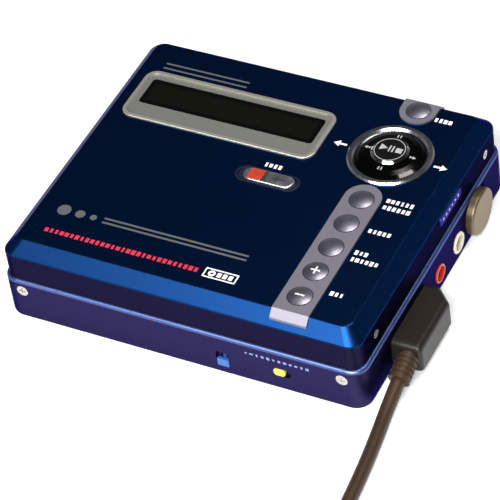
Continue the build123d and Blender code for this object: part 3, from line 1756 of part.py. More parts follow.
def make_host_shell():
    """Metal shell of the far plug, open at its end."""
    start = host_plug_start()
    neck = start.X - host_body_length
    end = neck - host_shell_length
    z = start.Z
    y_span = (start.Y - host_shell_width / 2, start.Y + host_shell_width / 2)
    z_span = (z - host_shell_height / 2, z + host_shell_height / 2)
    shell = block((end, neck), y_span, z_span)
    room_y = (y_span[0] + host_shell_wall, y_span[1] - host_shell_wall)
    room_z = (z_span[0] + host_shell_wall, z_span[1] - host_shell_wall)
    shell -= block((end - 1, neck - 2), room_y, room_z)
    return shell + block((end + 0.8, neck - 1.5), room_y, (z, room_z[1]))


# ------------------------------------------------------------------- Sub-parts
makers = {
    "base_case": make_base_case,
    "case_screws": make_case_screws,
    "pivot_pins": make_pivot_pins,
    "deck_plate": make_deck_plate,
    "battery_bay": make_battery_bay,
    "battery": make_battery,
    "battery_contact": make_battery_contact,
    "battery_door": make_battery_door,
    "main_board": make_main_board,
    "board_chips": make_board_chips,
    "phones_socket": lambda: jack(phones_y, phones_ring_radius),
    "mic_socket": lambda: jack(mic_y, mic_ring_radius),
    "data_socket": make_data_socket,
    "mode_switch": make_mode_switch,
    "hold_switch": make_hold_switch,
    "open_knob": make_open_knob,
    "latch_bar": make_latch_bar,
    "latch_spring": make_latch_spring,
    "spindle_motor": make_spindle_motor,
    "turntable": make_turntable,
    "pickup_sled": make_pickup_sled,
    "objective_lens": make_objective_lens,
    "guide_rods": make_guide_rods,
    "lead_screw": make_lead_screw,
    "idler_gear": make_idler_gear,
    "motor_pinion": make_motor_pinion,
    "sled_motor": make_sled_motor,
    "cartridge_holder": make_cartridge_holder,
    "lid_shell": make_lid_shell,
    "lid_screws": make_lid_screws,
    "lid_frame": make_lid_frame,
    "lid_board": make_lid_board,
    "lid_switches": make_lid_switches,
    "display_module": make_display_module,
    "display_bezel": make_display_bezel,
    "display_lens": make_display_lens,
    "strip_plate": make_strip_plate,
    "menu_plate": make_menu_plate,
    "menu_button": lambda: push_button(column_x, menu_y),
    "control_ring": make_control_ring,
    "rocker_ring": make_rocker_ring,
    "control_key": make_control_key,
    "centre_button": make_centre_button,
    "record_cup": make_record_cup,
    "record_knob": make_record_knob,
    "side_plate": make_side_plate,
    "head_rail": make_head_rail,
    "head_carriage": make_head_carriage,
    "write_head": make_write_head,
    "data_plug": make_data_plug,
    "plug_boot": make_plug_boot,
    "lead": make_lead,
    "lead_coil": make_lead_coil,
    "host_plug": make_host_plug,
    "host_shell": make_host_shell,
}

os.makedirs("parts", exist_ok=True)
for name, make in makers.items():
    save(name, make())
for number, (x, y) in enumerate(button_spots(), start=1):
    save(f"strip_button_{number}", push_button(x, y))
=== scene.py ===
import math

import bpy
from bpy.props import FloatProperty, FloatVectorProperty, IntProperty, PointerProperty
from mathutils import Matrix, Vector


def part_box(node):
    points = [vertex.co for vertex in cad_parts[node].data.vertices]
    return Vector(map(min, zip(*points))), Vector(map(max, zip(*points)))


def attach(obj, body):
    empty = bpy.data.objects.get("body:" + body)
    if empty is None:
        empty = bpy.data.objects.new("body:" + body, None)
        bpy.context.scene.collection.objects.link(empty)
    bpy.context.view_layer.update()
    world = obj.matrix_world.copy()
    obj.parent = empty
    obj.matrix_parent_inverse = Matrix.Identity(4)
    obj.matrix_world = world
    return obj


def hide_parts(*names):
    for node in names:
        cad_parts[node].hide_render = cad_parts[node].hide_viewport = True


bl_info = {
    "name": "Pocket disc player",
    "version": (1, 0, 0),
    "blender": (4, 5, 0),
    "location": "View3D > Sidebar > Disc player",
    "description": "Finishes, printed marks, data lead and studio of the packed disc player",
    "category": "Object",
}

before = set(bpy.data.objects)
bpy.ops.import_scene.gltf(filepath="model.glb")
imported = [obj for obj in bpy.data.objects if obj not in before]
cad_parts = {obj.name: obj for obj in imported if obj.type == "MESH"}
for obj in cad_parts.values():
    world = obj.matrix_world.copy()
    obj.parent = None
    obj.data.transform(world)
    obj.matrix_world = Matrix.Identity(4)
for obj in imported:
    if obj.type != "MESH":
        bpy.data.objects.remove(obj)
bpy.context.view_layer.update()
MM = 0.001

# The lead's free stretch, from the boot's end to the start of the coil, in metres.
LEAD_ROUTE = [
    (0.04530, -0.02834, 0.00323),
    (0.04530, -0.03364, 0.00151),
    (0.04670, -0.04254, 0.00150),
    (0.04810, -0.05454, 0.00150),
    (0.04910, -0.07004, 0.00150),
    (0.04950, -0.08854, 0.00150),
    (0.04950, -0.10700, 0.00150),
]

# The camera's place in metres and its turn in degrees, matched to the picture.
CAMERA_PLACE = (0.23773, -0.37902, 0.42885)
CAMERA_TURN = (45.810, 6.397, 26.196)

# Places of the lamps and the point that they face, in metres.
KEY_LAMP_PLACE = (0.1, -0.88, 0.82)
FILL_LAMP_PLACE = (0.2, 0.26, 1.0)
LIT_POINT = (0, 0, 0.01)

# Light of the sky near the horizon, and from 30 degrees up.
HORIZON_LIGHT = (0.4, 0.4, 0.41, 1)
HIGH_LIGHT = (0.035, 0.037, 0.045, 1)


# -------------------------------------------------------------------- Node tools
class Value:
    """A number on its way through a finish's nodes, for plain arithmetic."""

    def __init__(self, finish, socket):
        self.finish = finish
        self.socket = socket

    def _math(self, operation, first, second):
        node = self.finish.node("ShaderNodeMath", {"operation": operation}, {0: first, 1: second})
        return Value(self.finish, node.outputs[0])

    def __add__(self, other):
        return self._math("ADD", self, other)

    def __radd__(self, other):
        return self._math("ADD", other, self)

    def __rsub__(self, other):
        return self._math("SUBTRACT", other, self)

    def __mul__(self, other):
        return self._math("MULTIPLY", self, other)

    def between(self, low, high):
        """0 below the low limit and 1 above the high one, smooth in between."""
        settings = {"interpolation_type": "SMOOTHSTEP"}
        node = self.finish.node("ShaderNodeMapRange", settings, {"Value": self, 1: low, 2: high})
        return Value(self.finish, node.outputs[0])


class Nodes:
    """A tree of nodes, all of them made by one method."""

    def __init__(self, tree):
        self.tree = tree

    def node(self, kind, settings=None, sockets=None):
        """Any node: its type, its settings, then the values or links of its sockets."""
        node = self.tree.nodes.new(kind)
        for key, value in (settings or {}).items():
            setattr(node, key, value)
        for key, value in (sockets or {}).items():
            self.feed(node.inputs[key], value)
        return node

    def feed(self, socket, value):
        """Give a socket a value or a link."""
        if isinstance(value, Value):
            value = value.socket
        if isinstance(value, bpy.types.NodeSocket):
            self.tree.links.new(value, socket)
        elif socket.type == "RGBA":
            socket.default_value = (*value[:3], 1.0)
        else:
            socket.default_value = value


class Finish(Nodes):
    """A procedural material, built round one Principled shader."""

    def __init__(self, name, **constants):
        self.material = bpy.data.materials.new(name)
        self.material.use_nodes = True
        super().__init__(self.material.node_tree)
        self.tree.nodes.clear()
        self.surface = self.node("ShaderNodeBsdfPrincipled")
        self.node("ShaderNodeOutputMaterial", sockets={"Surface": self.surface.outputs[0]})
        self.object_place = self.node("ShaderNodeTexCoord").outputs["Object"]
        sockets = {socket.name.lower(): socket.name for socket in self.surface.inputs}
        for name, value in constants.items():
            self.set(sockets[name.replace("_", " ")], value)

    def set(self, name, value):
        """Give one of the shader's sockets a value or a link."""
        self.feed(self.surface.inputs[name], value)

    def axis(self, number):
        """One object coordinate, in metres."""
        node = self.node("ShaderNodeSeparateXYZ", sockets={0: self.object_place})
        return Value(self, node.outputs[number])

    def stretched(self, scale):
        """The object coordinates, scaled along each axis."""
        node = self.node("ShaderNodeMapping", sockets={"Vector": self.object_place, "Scale": scale})
        return node.outputs[0]

    def noise(self, scale, detail=2.0, stretch=(1, 1, 1)):
        """Noise between 0 and 1; a scale of 1000 has features about a millimetre wide."""
        sockets = {"Vector": self.stretched(stretch), "Scale": scale, "Detail": detail}
        return Value(self, self.node("ShaderNodeTexNoise", sockets=sockets).outputs[0])

    def mixed(self, mask, below, above):
        """Colour that goes from one to the other as the mask goes from 0 to 1."""
        node = self.node("ShaderNodeMix", {"data_type": "RGBA"}, {"Factor": mask})
        for name, paint in (("A", below), ("B", above)):
            target = [i for i in node.inputs if i.name == name and i.type == "RGBA"][0]
            self.feed(target, paint)
        return [o for o in node.outputs if o.type == "RGBA"][0]

    def bump(self, height, depth):
        """Bump from a height between 0 and 1, that many metres deep."""
        sockets = {"Height": height, "Distance": depth, "Strength": 1.0}
        self.set("Normal", self.node("ShaderNodeBump", sockets=sockets).outputs[0])


def shade(colour, factor):
    """A colour made lighter or darker."""
    return tuple(min(1.0, part * factor) for part in colour[:3])


def worn(finish, colour, grain, spread=0.12):
    """Colour with a fine and a broad variation over it."""
    fine = finish.noise(grain, 3.0)
    broad = finish.noise(60.0, 2.0)
    mask = (fine * 0.6 + broad * 0.4).between(0.3, 0.7)
    return finish.mixed(mask, shade(colour, 1 - spread), shade(colour, 1 + spread))


def metallic_paint(name, colour, wall_colour, wall_top, roughness):
    """Metal paint with fine flakes, one colour above a height and another below it: painted shade
    on the lid's walls, a painted highlight on the lower case's edge.
    """
    finish = Finish(name, metallic=0.97, specular_ior_level=0.15, specular_tint=(0.3, 0.3, 0.4))
    flakes = finish.noise(9000.0, 1.0).between(0.35, 0.7)
    height = finish.axis(2)
    # Height mask between the two colours, which places the painted shade and the painted highlight.
    upper = height.between(wall_top - 0.25 * MM, wall_top + 0.1 * MM)
    paint = finish.mixed(flakes, shade(colour, 0.86), shade(colour, 1.16))
    wall = finish.mixed(flakes, shade(wall_colour, 0.9), shade(wall_colour, 1.12))
    finish.set("Base Color", finish.mixed(upper, wall, paint))
    cloud = finish.noise(45.0, 3.0)
    finish.set("Roughness", roughness - 0.04 + cloud * 0.06 + flakes * 0.03)
    finish.bump(finish.noise(1400.0, 2.0), 0.004 * MM)
    return finish.material


def brushed_metal(name, colour, roughness, along=1, strength=0.02):
    """Metal with fine brush lines along one axis."""
    finish = Finish(name, metallic=0.9)
    stretch = [9000.0, 9000.0, 9000.0]
    stretch[along] = 140.0
    lines = finish.noise(1.0, 3.0, stretch)
    finish.set("Base Color", finish.mixed(lines, shade(colour, 0.82), shade(colour, 1.15)))
    finish.set("Roughness", roughness - 0.05 + lines * 0.1)
    finish.bump(lines, strength * MM)
    return finish.material


def polished_metal(name, colour, roughness):
    """Bright plated metal with faint handling haze."""
    finish = Finish(name, metallic=1.0)
    haze = finish.noise(320.0, 4.0)
    finish.set("Base Color", finish.mixed(haze, shade(colour, 0.95), colour))
    finish.set("Roughness", roughness + haze.between(0.45, 0.75) * 0.07)
    finish.bump(finish.noise(5000.0, 2.0), 0.0008 * MM)
    return finish.material


def moulded_plastic(name, colour, roughness, grain=5000.0, depth=0.006, coat=0.0, shine=0.5):
    """Moulded plastic with a spark-eroded texture."""
    finish = Finish(name, coat_weight=coat, coat_roughness=0.05, specular_ior_level=shine)
    finish.set("Base Color", worn(finish, colour, 900.0))
    texture = finish.noise(grain, 2.0)
    finish.set("Roughness", roughness - 0.03 + texture * 0.08)
    finish.bump(texture, depth * MM)
    return finish.material


def sheet_metal(name, colour):
    """Plated steel sheet with rolling marks and a soft spangle."""
    finish = Finish(name, metallic=1.0)
    rolled = finish.noise(1.0, 2.0, (3000.0, 120.0, 3000.0))
    spangle = finish.noise(500.0, 2.0)
    finish.set("Base Color", finish.mixed(spangle, shade(colour, 0.85), shade(colour, 1.1)))
    finish.set("Roughness", 0.3 + rolled * 0.1 + spangle * 0.08)
    finish.bump(rolled, 0.004 * MM)
    return finish.material


def rubber(name, colour):
    """Matte rubber with fine pores."""
    finish = Finish(name, specular_ior_level=0.35)
    pores = finish.noise(7000.0, 2.0)
    finish.set("Base Color", worn(finish, colour, 1500.0, 0.2))
    finish.set("Roughness", 0.42 + pores * 0.12)
    finish.bump(pores, 0.01 * MM)
    return finish.material


def circuit_board(name, mask_colour, copper):
    """Solder mask with traces that show through it."""
    finish = Finish(name, coat_weight=0.3, coat_roughness=0.15)
    sockets = {"Vector": finish.stretched((1, 1, 0)), "Scale": 420.0, "Randomness": 0.0}
    settings = {"feature": "DISTANCE_TO_EDGE"}
    cells = finish.node("ShaderNodeTexVoronoi", settings, sockets)
    traces = 1 - Value(finish, cells.outputs["Distance"]).between(0.05, 0.09)
    fields = finish.noise(160.0, 1.0).between(0.5, 0.52)
    show = traces * fields
    finish.set("Base Color", finish.mixed(show, mask_colour, copper))
    finish.set("Roughness", 0.4 - show * 0.12)
    finish.bump(show, 0.02 * MM)
    return finish.material


def dark_window(name, colour, box):
    """Dark glass with the grid of the panel faintly seen in it."""
    finish = Finish(name, specular_ior_level=0.35)
    (left, front), (right, back) = box
    across = finish.axis(0)
    along = finish.axis(1)
    inset = 1.1 * MM
    soft = 0.2 * MM
    inside = across.between(left + inset, left + inset + soft)
    inside = inside * (1 - across.between(right - inset - soft, right - inset))
    inside = inside * along.between(front + inset, front + inset + soft)
    inside = inside * (1 - along.between(back - inset - soft, back - inset))
    cloud = finish.noise(90.0, 2.0)
    glow = inside * (0.6 + cloud * 0.4)
    finish.set("Base Color", finish.mixed(glow, shade(colour, 0.7), shade(colour, 1.7)))
    finish.set("Roughness", 0.1 + cloud * 0.03)
    return finish.material


def optic(name, colour):
    """Coated lens: dark, with a smooth coloured sheen."""
    finish = Finish(name, ior=1.6, coat_weight=0.6, coat_roughness=0.02, coat_tint=(0.4, 0.5, 1.0))
    finish.set("Base Color", worn(finish, colour, 300.0))
    finish.set("Roughness", 0.05 + finish.noise(200.0) * 0.03)
    return finish.material


def printed_ink(name, colour):
    """Screen-printed ink, slightly uneven."""
    finish = Finish(name, specular_ior_level=0.3)
    finish.set("Base Color", worn(finish, colour, 3000.0, 0.08))
    finish.set("Roughness", 0.45 + finish.noise(4000.0) * 0.1)
    return finish.material


def dress(material, *nodes):
    """Give CAD nodes a material."""
    for name in nodes:
        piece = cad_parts[name]
        if not piece.material_slots:
            piece.data.materials.append(material)
        for slot in piece.material_slots:
            slot.material = material


# --------------------------------------------------------------------- Mesh tools
class Shape:
    """Corners and faces gathered into one mesh."""

    def __init__(self):
        self.corners = []
        self.faces = []

    def prism(self, outline, low, high):
        """Upright prism over an outline that runs anticlockwise."""
        first = len(self.corners)
        count = len(outline)
        self.corners += [(x, y, low) for x, y in outline]
        self.corners += [(x, y, high) for x, y in outline]
        self.faces.append(tuple(first + count + n for n in range(count)))
        self.faces.append(tuple(first + n for n in reversed(range(count))))
        for n in range(count):
            after = (n + 1) % count
            self.faces.append((first + n, first + after, first + count + after, first + count + n))

    def ring(self, centre, outer, inner, low, high, steps=48):
        """Flat ring: an outer and an inner wall with a top and a bottom between them."""
        rows = []
        for radius, height in ((outer, low), (outer, high), (inner, high), (inner, low)):
            rows.append(len(self.corners))
            self.corners += [(x, y, height) for x, y in circle(centre, radius, steps)]
        for row, above in zip(rows, rows[1:] + rows[:1]):
            for n in range(steps):
                after = (n + 1) % steps
                self.faces.append((row + n, row + after, above + after, above + n))

    def piece(self, name, material, body, slot):
        """Make the mesh a piece that rides on its body."""
        mesh = bpy.data.meshes.new(name)
        mesh.from_pydata(self.corners, [], self.faces)
        mesh.materials.append(material)
        piece = bpy.data.objects.new(name, mesh)
        bpy.context.scene.collection.objects.link(piece)
        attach(piece, body)


def middle(node):
    """Middle of a CAD node, seen from above."""
    low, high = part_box(node)
    return (low.x + high.x) / 2, (low.y + high.y) / 2


def circle(centre, radius, steps=32):
    """Points round a circle."""
    turns = [2 * math.pi * n / steps for n in range(steps)]
    return [(centre[0] + radius * math.cos(a), centre[1] + radius * math.sin(a)) for a in turns]


def bar(left, front, right, back):
    """Points of a rectangle."""
    return [(left, front), (right, front), (right, back), (left, back)]


def moved(outline, centre, size=1.0, turn=0.0):
    """An outline turned, sized and moved to its place."""
    cos, sin = math.cos(turn), math.sin(turn)
    return [
        (centre[0] + size * (x * cos - y * sin), centre[1] + size * (x * sin + y * cos))
        for x, y in outline
    ]


# Outlines of the signs: the arrow's shaft starts at its origin, and its head points along +X.
ARROW = [(0, -0.25), (1.6, -0.25), (1.6, -0.9), (3.0, 0), (1.6, 0.9), (1.6, 0.25), (0, 0.25)]
TRIANGLE = [(-0.5, -0.6), (0.6, 0), (-0.5, 0.6)]


def mark_row_tree():
    """Geometry nodes that lay a row of small bars of uneven width."""
    tree = bpy.data.node_groups.new("Mark row", "GeometryNodeTree")
    tree.interface.new_socket("Geometry", in_out="OUTPUT", socket_type="NodeSocketGeometry")
    for name, kind in (
        ("Start", "NodeSocketVector"),
        ("Step", "NodeSocketVector"),
        ("Count", "NodeSocketInt"),
        ("Bar size", "NodeSocketVector"),
        ("Least scale", "NodeSocketVector"),
        ("Seed", "NodeSocketInt"),
        ("Ink", "NodeSocketMaterial"),
    ):
        tree.interface.new_socket(name, in_out="INPUT", socket_type=kind)
    nodes = Nodes(tree)
    given = nodes.node("NodeGroupInput").outputs
    points = {"Start Location": given["Start"], "Offset": given["Step"], "Count": given["Count"]}
    line = nodes.node("GeometryNodeMeshLine", sockets=points)
    cube = nodes.node("GeometryNodeMeshCube", sockets={"Size": given["Bar size"]})
    limits = {"Min": given["Least scale"], "Max": (1.0, 1.0, 1.0), "Seed": given["Seed"]}
    uneven = nodes.node("FunctionNodeRandomValue", {"data_type": "FLOAT_VECTOR"}, limits)
    bars = {"Points": line.outputs[0], "Instance": cube.outputs[0], "Scale": uneven.outputs[0]}
    placed = nodes.node("GeometryNodeInstanceOnPoints", sockets=bars)
    real = nodes.node("GeometryNodeRealizeInstances", sockets={0: placed.outputs[0]})
    inked = {"Geometry": real.outputs[0], "Material": given["Ink"]}
    ink = nodes.node("GeometryNodeSetMaterial", sockets=inked)
    nodes.node("NodeGroupOutput", sockets={0: ink.outputs[0]})
    return tree


def mark_row(name, tree, body, values):
    """A row of bars from the tree, made a plain mesh that rides on a body."""
    piece = bpy.data.objects.new(name, bpy.data.meshes.new(name))
    bpy.context.scene.collection.objects.link(piece)
    modifier = piece.modifiers.new(name, "NODES")
    modifier.node_group = tree
    identifiers = {item.name: item.identifier for item in tree.interface.items_tree}
    for key, value in values.items():
        modifier[identifiers[key]] = value
    evaluated = piece.evaluated_get(bpy.context.evaluated_depsgraph_get())
    mesh = bpy.data.meshes.new_from_object(evaluated)
    piece.modifiers.clear()
    piece.data = mesh
    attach(piece, body)


# ------------------------------------------------------------------------ Settings
def colour(name, default, description):
    """A colour that a user may change."""
    return FloatVectorProperty(
        name=name, description=description, default=default, subtype="COLOR", min=0.0, max=1.0
    )


def amount(name, default, description, **limits):
    """A number that a user may change, with its unit or its limits."""
    return FloatProperty(name=name, description=description, default=default, **limits)


class CaseColours(bpy.types.PropertyGroup):
    """Paints of the lid and the lower case, with painted shade on the lid's walls and a painted
    highlight on the case's edge
    """

    lid: colour("Lid paint", (0.0055, 0.033, 0.125), "Blue of the lid's top and bevel")
    # Painted shade: a darker colour on the lid's walls below the bevel, for the little light that
    # they reflect.
    lid_wall_painted_shade: colour("Lid wall painted shade", (0.015, 0.0135, 0.036), "Dark shade on the lid's walls")
    case: colour("Lower case", (0.031, 0.026, 0.082), "Violet blue of the lower case")
    # Painted highlight: a lighter blue band along the lower case's upper edge, for the light caught
    # by its rim.
    edge: colour("Lower shell edge highlight", (0.1, 0.145, 0.36), "Painted highlight on the case's upper edge")
    roughness: amount("Paint roughness", 0.33, "How soft the paint shines", min=0.05, max=0.9)


class TrimColours(bpy.types.PropertyGroup):
    """Colours of the metal trim"""

    plate: colour("Key plates", (0.3, 0.285, 0.335), "Mauve silver of the plates under the keys")
    rim: colour("Window rim", (0.56, 0.54, 0.47), "Cream silver of the raised rim round the window")
    chrome: colour("Chrome", (0.82, 0.81, 0.84), "Ring, record knob and centre key")
    steel: colour("Steel", (0.52, 0.49, 0.46), "Screws and pins")


class PrintSizes(bpy.types.PropertyGroup):
    """Sizes of the printed marks on the lid"""

    ink: amount("Ink height", 0.02 * MM, "How far the print stands up", unit="LENGTH")
    letter: amount("Bar height", 1.25 * MM, "Height of the short bars", unit="LENGTH")
    pitch: amount("Bar pitch", 1.05 * MM, "Step between short bars", unit="LENGTH")


class LeadSizes(bpy.types.PropertyGroup):
    """Sizes of the data lead and its coil"""

    radius: amount("Radius", 1.5 * MM, "Radius of the lead", unit="LENGTH")
    coil: amount("Coil", 23.7 * MM, "Radius of the coil", unit="LENGTH")
    pitch: amount("Pitch", 3.5 * MM, "Step between turns", unit="LENGTH")
    turns: IntProperty(name="Turns", description="Turns in each layer", default=4, min=1)


class StudioSettings(bpy.types.PropertyGroup):
    """Lens, floor and lamps"""

    lens: amount("Lens", 210.1, "Focal length in millimetres", min=20.0)
    floor: colour("Floor", (0.86, 0.86, 0.86), "Plain pale floor")
    key: amount("Key lamp", 28.0, "Power of the key lamp", unit="POWER")
    fill: amount("Fill lamp", 5.0, "Power of the fill lamp", unit="POWER")


# ------------------------------------------------------------------------- Operators
def area_lamp(name, place, width, height, power):
    """Rectangular lamp that faces the player."""
    lamp = bpy.data.lights.new(name, "AREA")
    lamp.shape = "RECTANGLE"
    lamp.size = width
    lamp.size_y = height
    lamp.energy = power
    stand = bpy.data.objects.new(name, lamp)
    stand.location = place
    stand.rotation_euler = (Vector(LIT_POINT) - Vector(place)).to_track_quat("-Z", "Y").to_euler()
    bpy.context.scene.collection.objects.link(stand)


class DISC_PLAYER_OT_studio(bpy.types.Operator):
    """Set up the camera, the pale floor, the lamps and the soft light all round"""

    bl_idname = "disc_player.studio"
    bl_label = "Studio"

    def execute(self, context):
        settings = context.scene.disc_player_studio
        scene = context.scene
        scene.view_settings.view_transform = "Standard"
        camera = bpy.data.objects.new("Camera", bpy.data.cameras.new("Camera"))
        camera.data.lens = settings.lens
        camera.data.sensor_width = 36.0
        camera.data.clip_end = 20.0
        camera.location = CAMERA_PLACE
        camera.rotation_euler = [math.radians(angle) for angle in CAMERA_TURN]
        scene.collection.objects.link(camera)
        scene.camera = camera
        self.make_floor(settings)
        area_lamp("Key lamp", KEY_LAMP_PLACE, 1.0, 0.5, settings.key)
        area_lamp("Fill lamp", FILL_LAMP_PLACE, 0.4, 0.4, settings.fill)
        self.make_sky(scene)
        return {"FINISHED"}

    def make_floor(self, settings):
        """Pale paper, a little brighter to the camera, metal and glass than its lamps make it."""
        mesh = bpy.data.meshes.new("Floor")
        half = 3.0
        corners = [(x, y, 0.0) for x, y in bar(-half, -half, half, half)]
        mesh.from_pydata(corners, [], [(0, 1, 2, 3)])
        finish = Finish("Floor paper", roughness=0.9, specular_ior_level=0.1)
        finish.set("Base Color", worn(finish, settings.floor, 2000.0, 0.01))
        rays = finish.node("ShaderNodeLightPath").outputs
        seen = Value(finish, rays["Is Camera Ray"]) + Value(finish, rays["Is Glossy Ray"])
        seen = seen + Value(finish, rays["Is Transmission Ray"])
        finish.set("Emission Color", finish.mixed(seen, (0.0, 0.0, 0.0), (0.25, 0.25, 0.25)))
        finish.set("Emission Strength", 1.0)
        mesh.materials.append(finish.material)
        floor = bpy.data.objects.new("Floor", mesh)
        bpy.context.scene.collection.objects.link(floor)

    def make_sky(self, scene):
        """Soft light all round, brighter near the horizon than overhead."""
        world = bpy.data.worlds.new("Studio")
        scene.world = world
        world.use_nodes = True
        sky = Nodes(world.node_tree)
        direction = sky.node("ShaderNodeTexCoord").outputs["Generated"]
        parts = sky.node("ShaderNodeSeparateXYZ", sockets={0: direction})
        ramp = sky.node("ShaderNodeValToRGB", sockets={0: parts.outputs["Z"]})
        low, high = ramp.color_ramp.elements
        low.position, low.color = 0.0, HORIZON_LIGHT
        high.position, high.color = 0.5, HIGH_LIGHT
        sky.feed(sky.tree.nodes["Background"].inputs["Color"], ramp.outputs[0])


class DISC_PLAYER_OT_data_lead(bpy.types.Operator):
    """Lay the data lead: out of the plug's boot, over the floor and into a two-layer coil"""

    bl_idname = "disc_player.data_lead"
    bl_label = "Data lead"

    def execute(self, context):
        sizes = context.scene.disc_player_lead
        black = rubber("Lead rubber", (0.038, 0.019, 0.009))
        plug = moulded_plastic("Plug plastic", (0.012, 0.009, 0.006), 0.4, 2600.0, 0.012, shine=0.3)
        dress(black, "plug_boot")
        dress(plug, "data_plug", "host_plug")
        dress(polished_metal("Plug shell", (0.7, 0.69, 0.67), 0.2), "host_shell")
        points = LEAD_ROUTE + self.coil_points(sizes) + self.tail_points(sizes)
        curve = bpy.data.curves.new("Data lead", "CURVE")
        curve.dimensions = "3D"
        curve.bevel_depth = sizes.radius
        curve.bevel_resolution = 6
        curve.resolution_u = 6
        curve.use_fill_caps = True
        spline = curve.splines.new("NURBS")
        spline.points.add(len(points) - 1)
        for corner, point in zip(spline.points, points):
            corner.co = (*point, 1.0)
        spline.order_u = 3
        spline.use_endpoint_u = True
        curve.materials.append(black)
        lead = bpy.data.objects.new("data_lead", curve)
        context.scene.collection.objects.link(lead)
        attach(lead, "base")
        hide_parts("lead", "lead_coil")
        return {"FINISHED"}

    def coil_centre(self, sizes):
        """Middle of the coil, beside the end of the free stretch."""
        start = LEAD_ROUTE[-1]
        return start[0] - sizes.coil, start[1] - 2 * sizes.radius

    def coil_points(self, sizes):
        """Points of the turns that wind in on the floor and out again on top of them."""
        steps = 24
        inward = sizes.turns * steps
        climb = steps // 2
        least = sizes.coil - sizes.pitch * sizes.turns
        centre_x, centre_y = self.coil_centre(sizes)
        points = []
        for number in range(2 * inward + climb - steps // 4 + 1):
            if number <= inward:
                reach = sizes.coil - sizes.pitch * number / steps
                height = 0.0
            elif number <= inward + climb:
                share = (number - inward) / climb
                reach = least - sizes.pitch / 2 * (share - share**2)
                height = sizes.pitch * (3 * share**2 - 2 * share**3)
            else:
                reach = least + sizes.pitch * (number - inward - climb) / steps
                height = sizes.pitch
            angle = -2 * math.pi * number / steps
            x = centre_x + reach * math.cos(angle)
            y = centre_y + reach * math.sin(angle)
            points.append((x, y, sizes.radius + height))
        return points

    def tail_points(self, sizes):
        """Straight end of the lead, down into the far plug."""
        centre_x, centre_y = self.coil_centre(sizes)
        y = centre_y - sizes.coil + sizes.pitch / 4
        high = sizes.radius + sizes.pitch
        return [
            (centre_x - 5 * MM, y, high),
            (centre_x - 12 * MM, y, high - 0.6 * MM),
            (centre_x - 17 * MM, y, high - 0.7 * MM),
            (centre_x - 20 * MM, y, high - 0.7 * MM),
        ]


class DISC_PLAYER_OT_case_paint(bpy.types.Operator):
    """Paint the lid, the lower case, the battery door and the side plate"""

    bl_idname = "disc_player.case_paint"
    bl_label = "Case paint"

    def execute(self, context):
        colours = context.scene.disc_player_case
        soft = colours.roughness
        bevel_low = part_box("lid_shell")[1].z - 3.0 * MM
        # Below the bevel the lid takes the wall colour, painted shade on its walls.
        lid = metallic_paint("Lid paint", colours.lid, colours.lid_wall_painted_shade, bevel_low, soft)
        # Above this height the lower case takes the lighter edge colour, a painted highlight on its
        # rim.
        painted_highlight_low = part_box("base_case")[1].z - 2.35 * MM
        case = metallic_paint(
            "Lower shell paint", colours.edge, colours.case, painted_highlight_low, soft + 0.04
        )
        dress(lid, "lid_shell")
        dress(case, "base_case", "battery_door")
        violet = (0.07, 0.07, 0.3)
        dress(metallic_paint("Side plate paint", violet, violet, bevel_low, 0.35), "side_plate")
        return {"FINISHED"}


class DISC_PLAYER_OT_trim(bpy.types.Operator):
    """Finish the window, its rim, the key plates, the ring and the screws"""

    bl_idname = "disc_player.trim"
    bl_label = "Window, plates and screws"

    def execute(self, context):
        colours = context.scene.disc_player_trim
        low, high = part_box("display_lens")
        glass = dark_window("Window glass", (0.003, 0.003, 0.0018), (low.xy, high.xy))
        dress(glass, "display_lens")
        dress(self.rim_finish(colours.rim), "display_bezel")
        dress(brushed_metal("Key plate", colours.plate, 0.6, 1, 0.006), "strip_plate", "menu_plate")
        dress(polished_metal("Ring chrome", shade(colours.chrome, 0.75), 0.24), "control_ring")
        steel = brushed_metal("Screw steel", colours.steel, 0.34, 0, 0.004)
        dress(steel, "case_screws", "lid_screws", "pivot_pins")
        return {"FINISHED"}

    def rim_finish(self, rim):
        """Satin silver on the raised rim, greyer and flatter inside it."""
        finish = Finish("Window rim", metallic=0.75)
        lid_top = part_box("lid_shell")[1].z
        raised = finish.axis(2).between(lid_top + 0.12 * MM, lid_top + 0.2 * MM)
        grain = finish.noise(4500.0, 2.0)
        inner = finish.mixed(grain, (0.25, 0.25, 0.22), (0.31, 0.31, 0.275))
        outer = finish.mixed(grain, shade(rim, 0.93), shade(rim, 1.07))
        finish.set("Base Color", finish.mixed(raised, inner, outer))
        finish.set("Roughness", 0.5 - raised * 0.18 + grain * 0.05)
        finish.bump(grain, 0.004 * MM)
        return finish.material


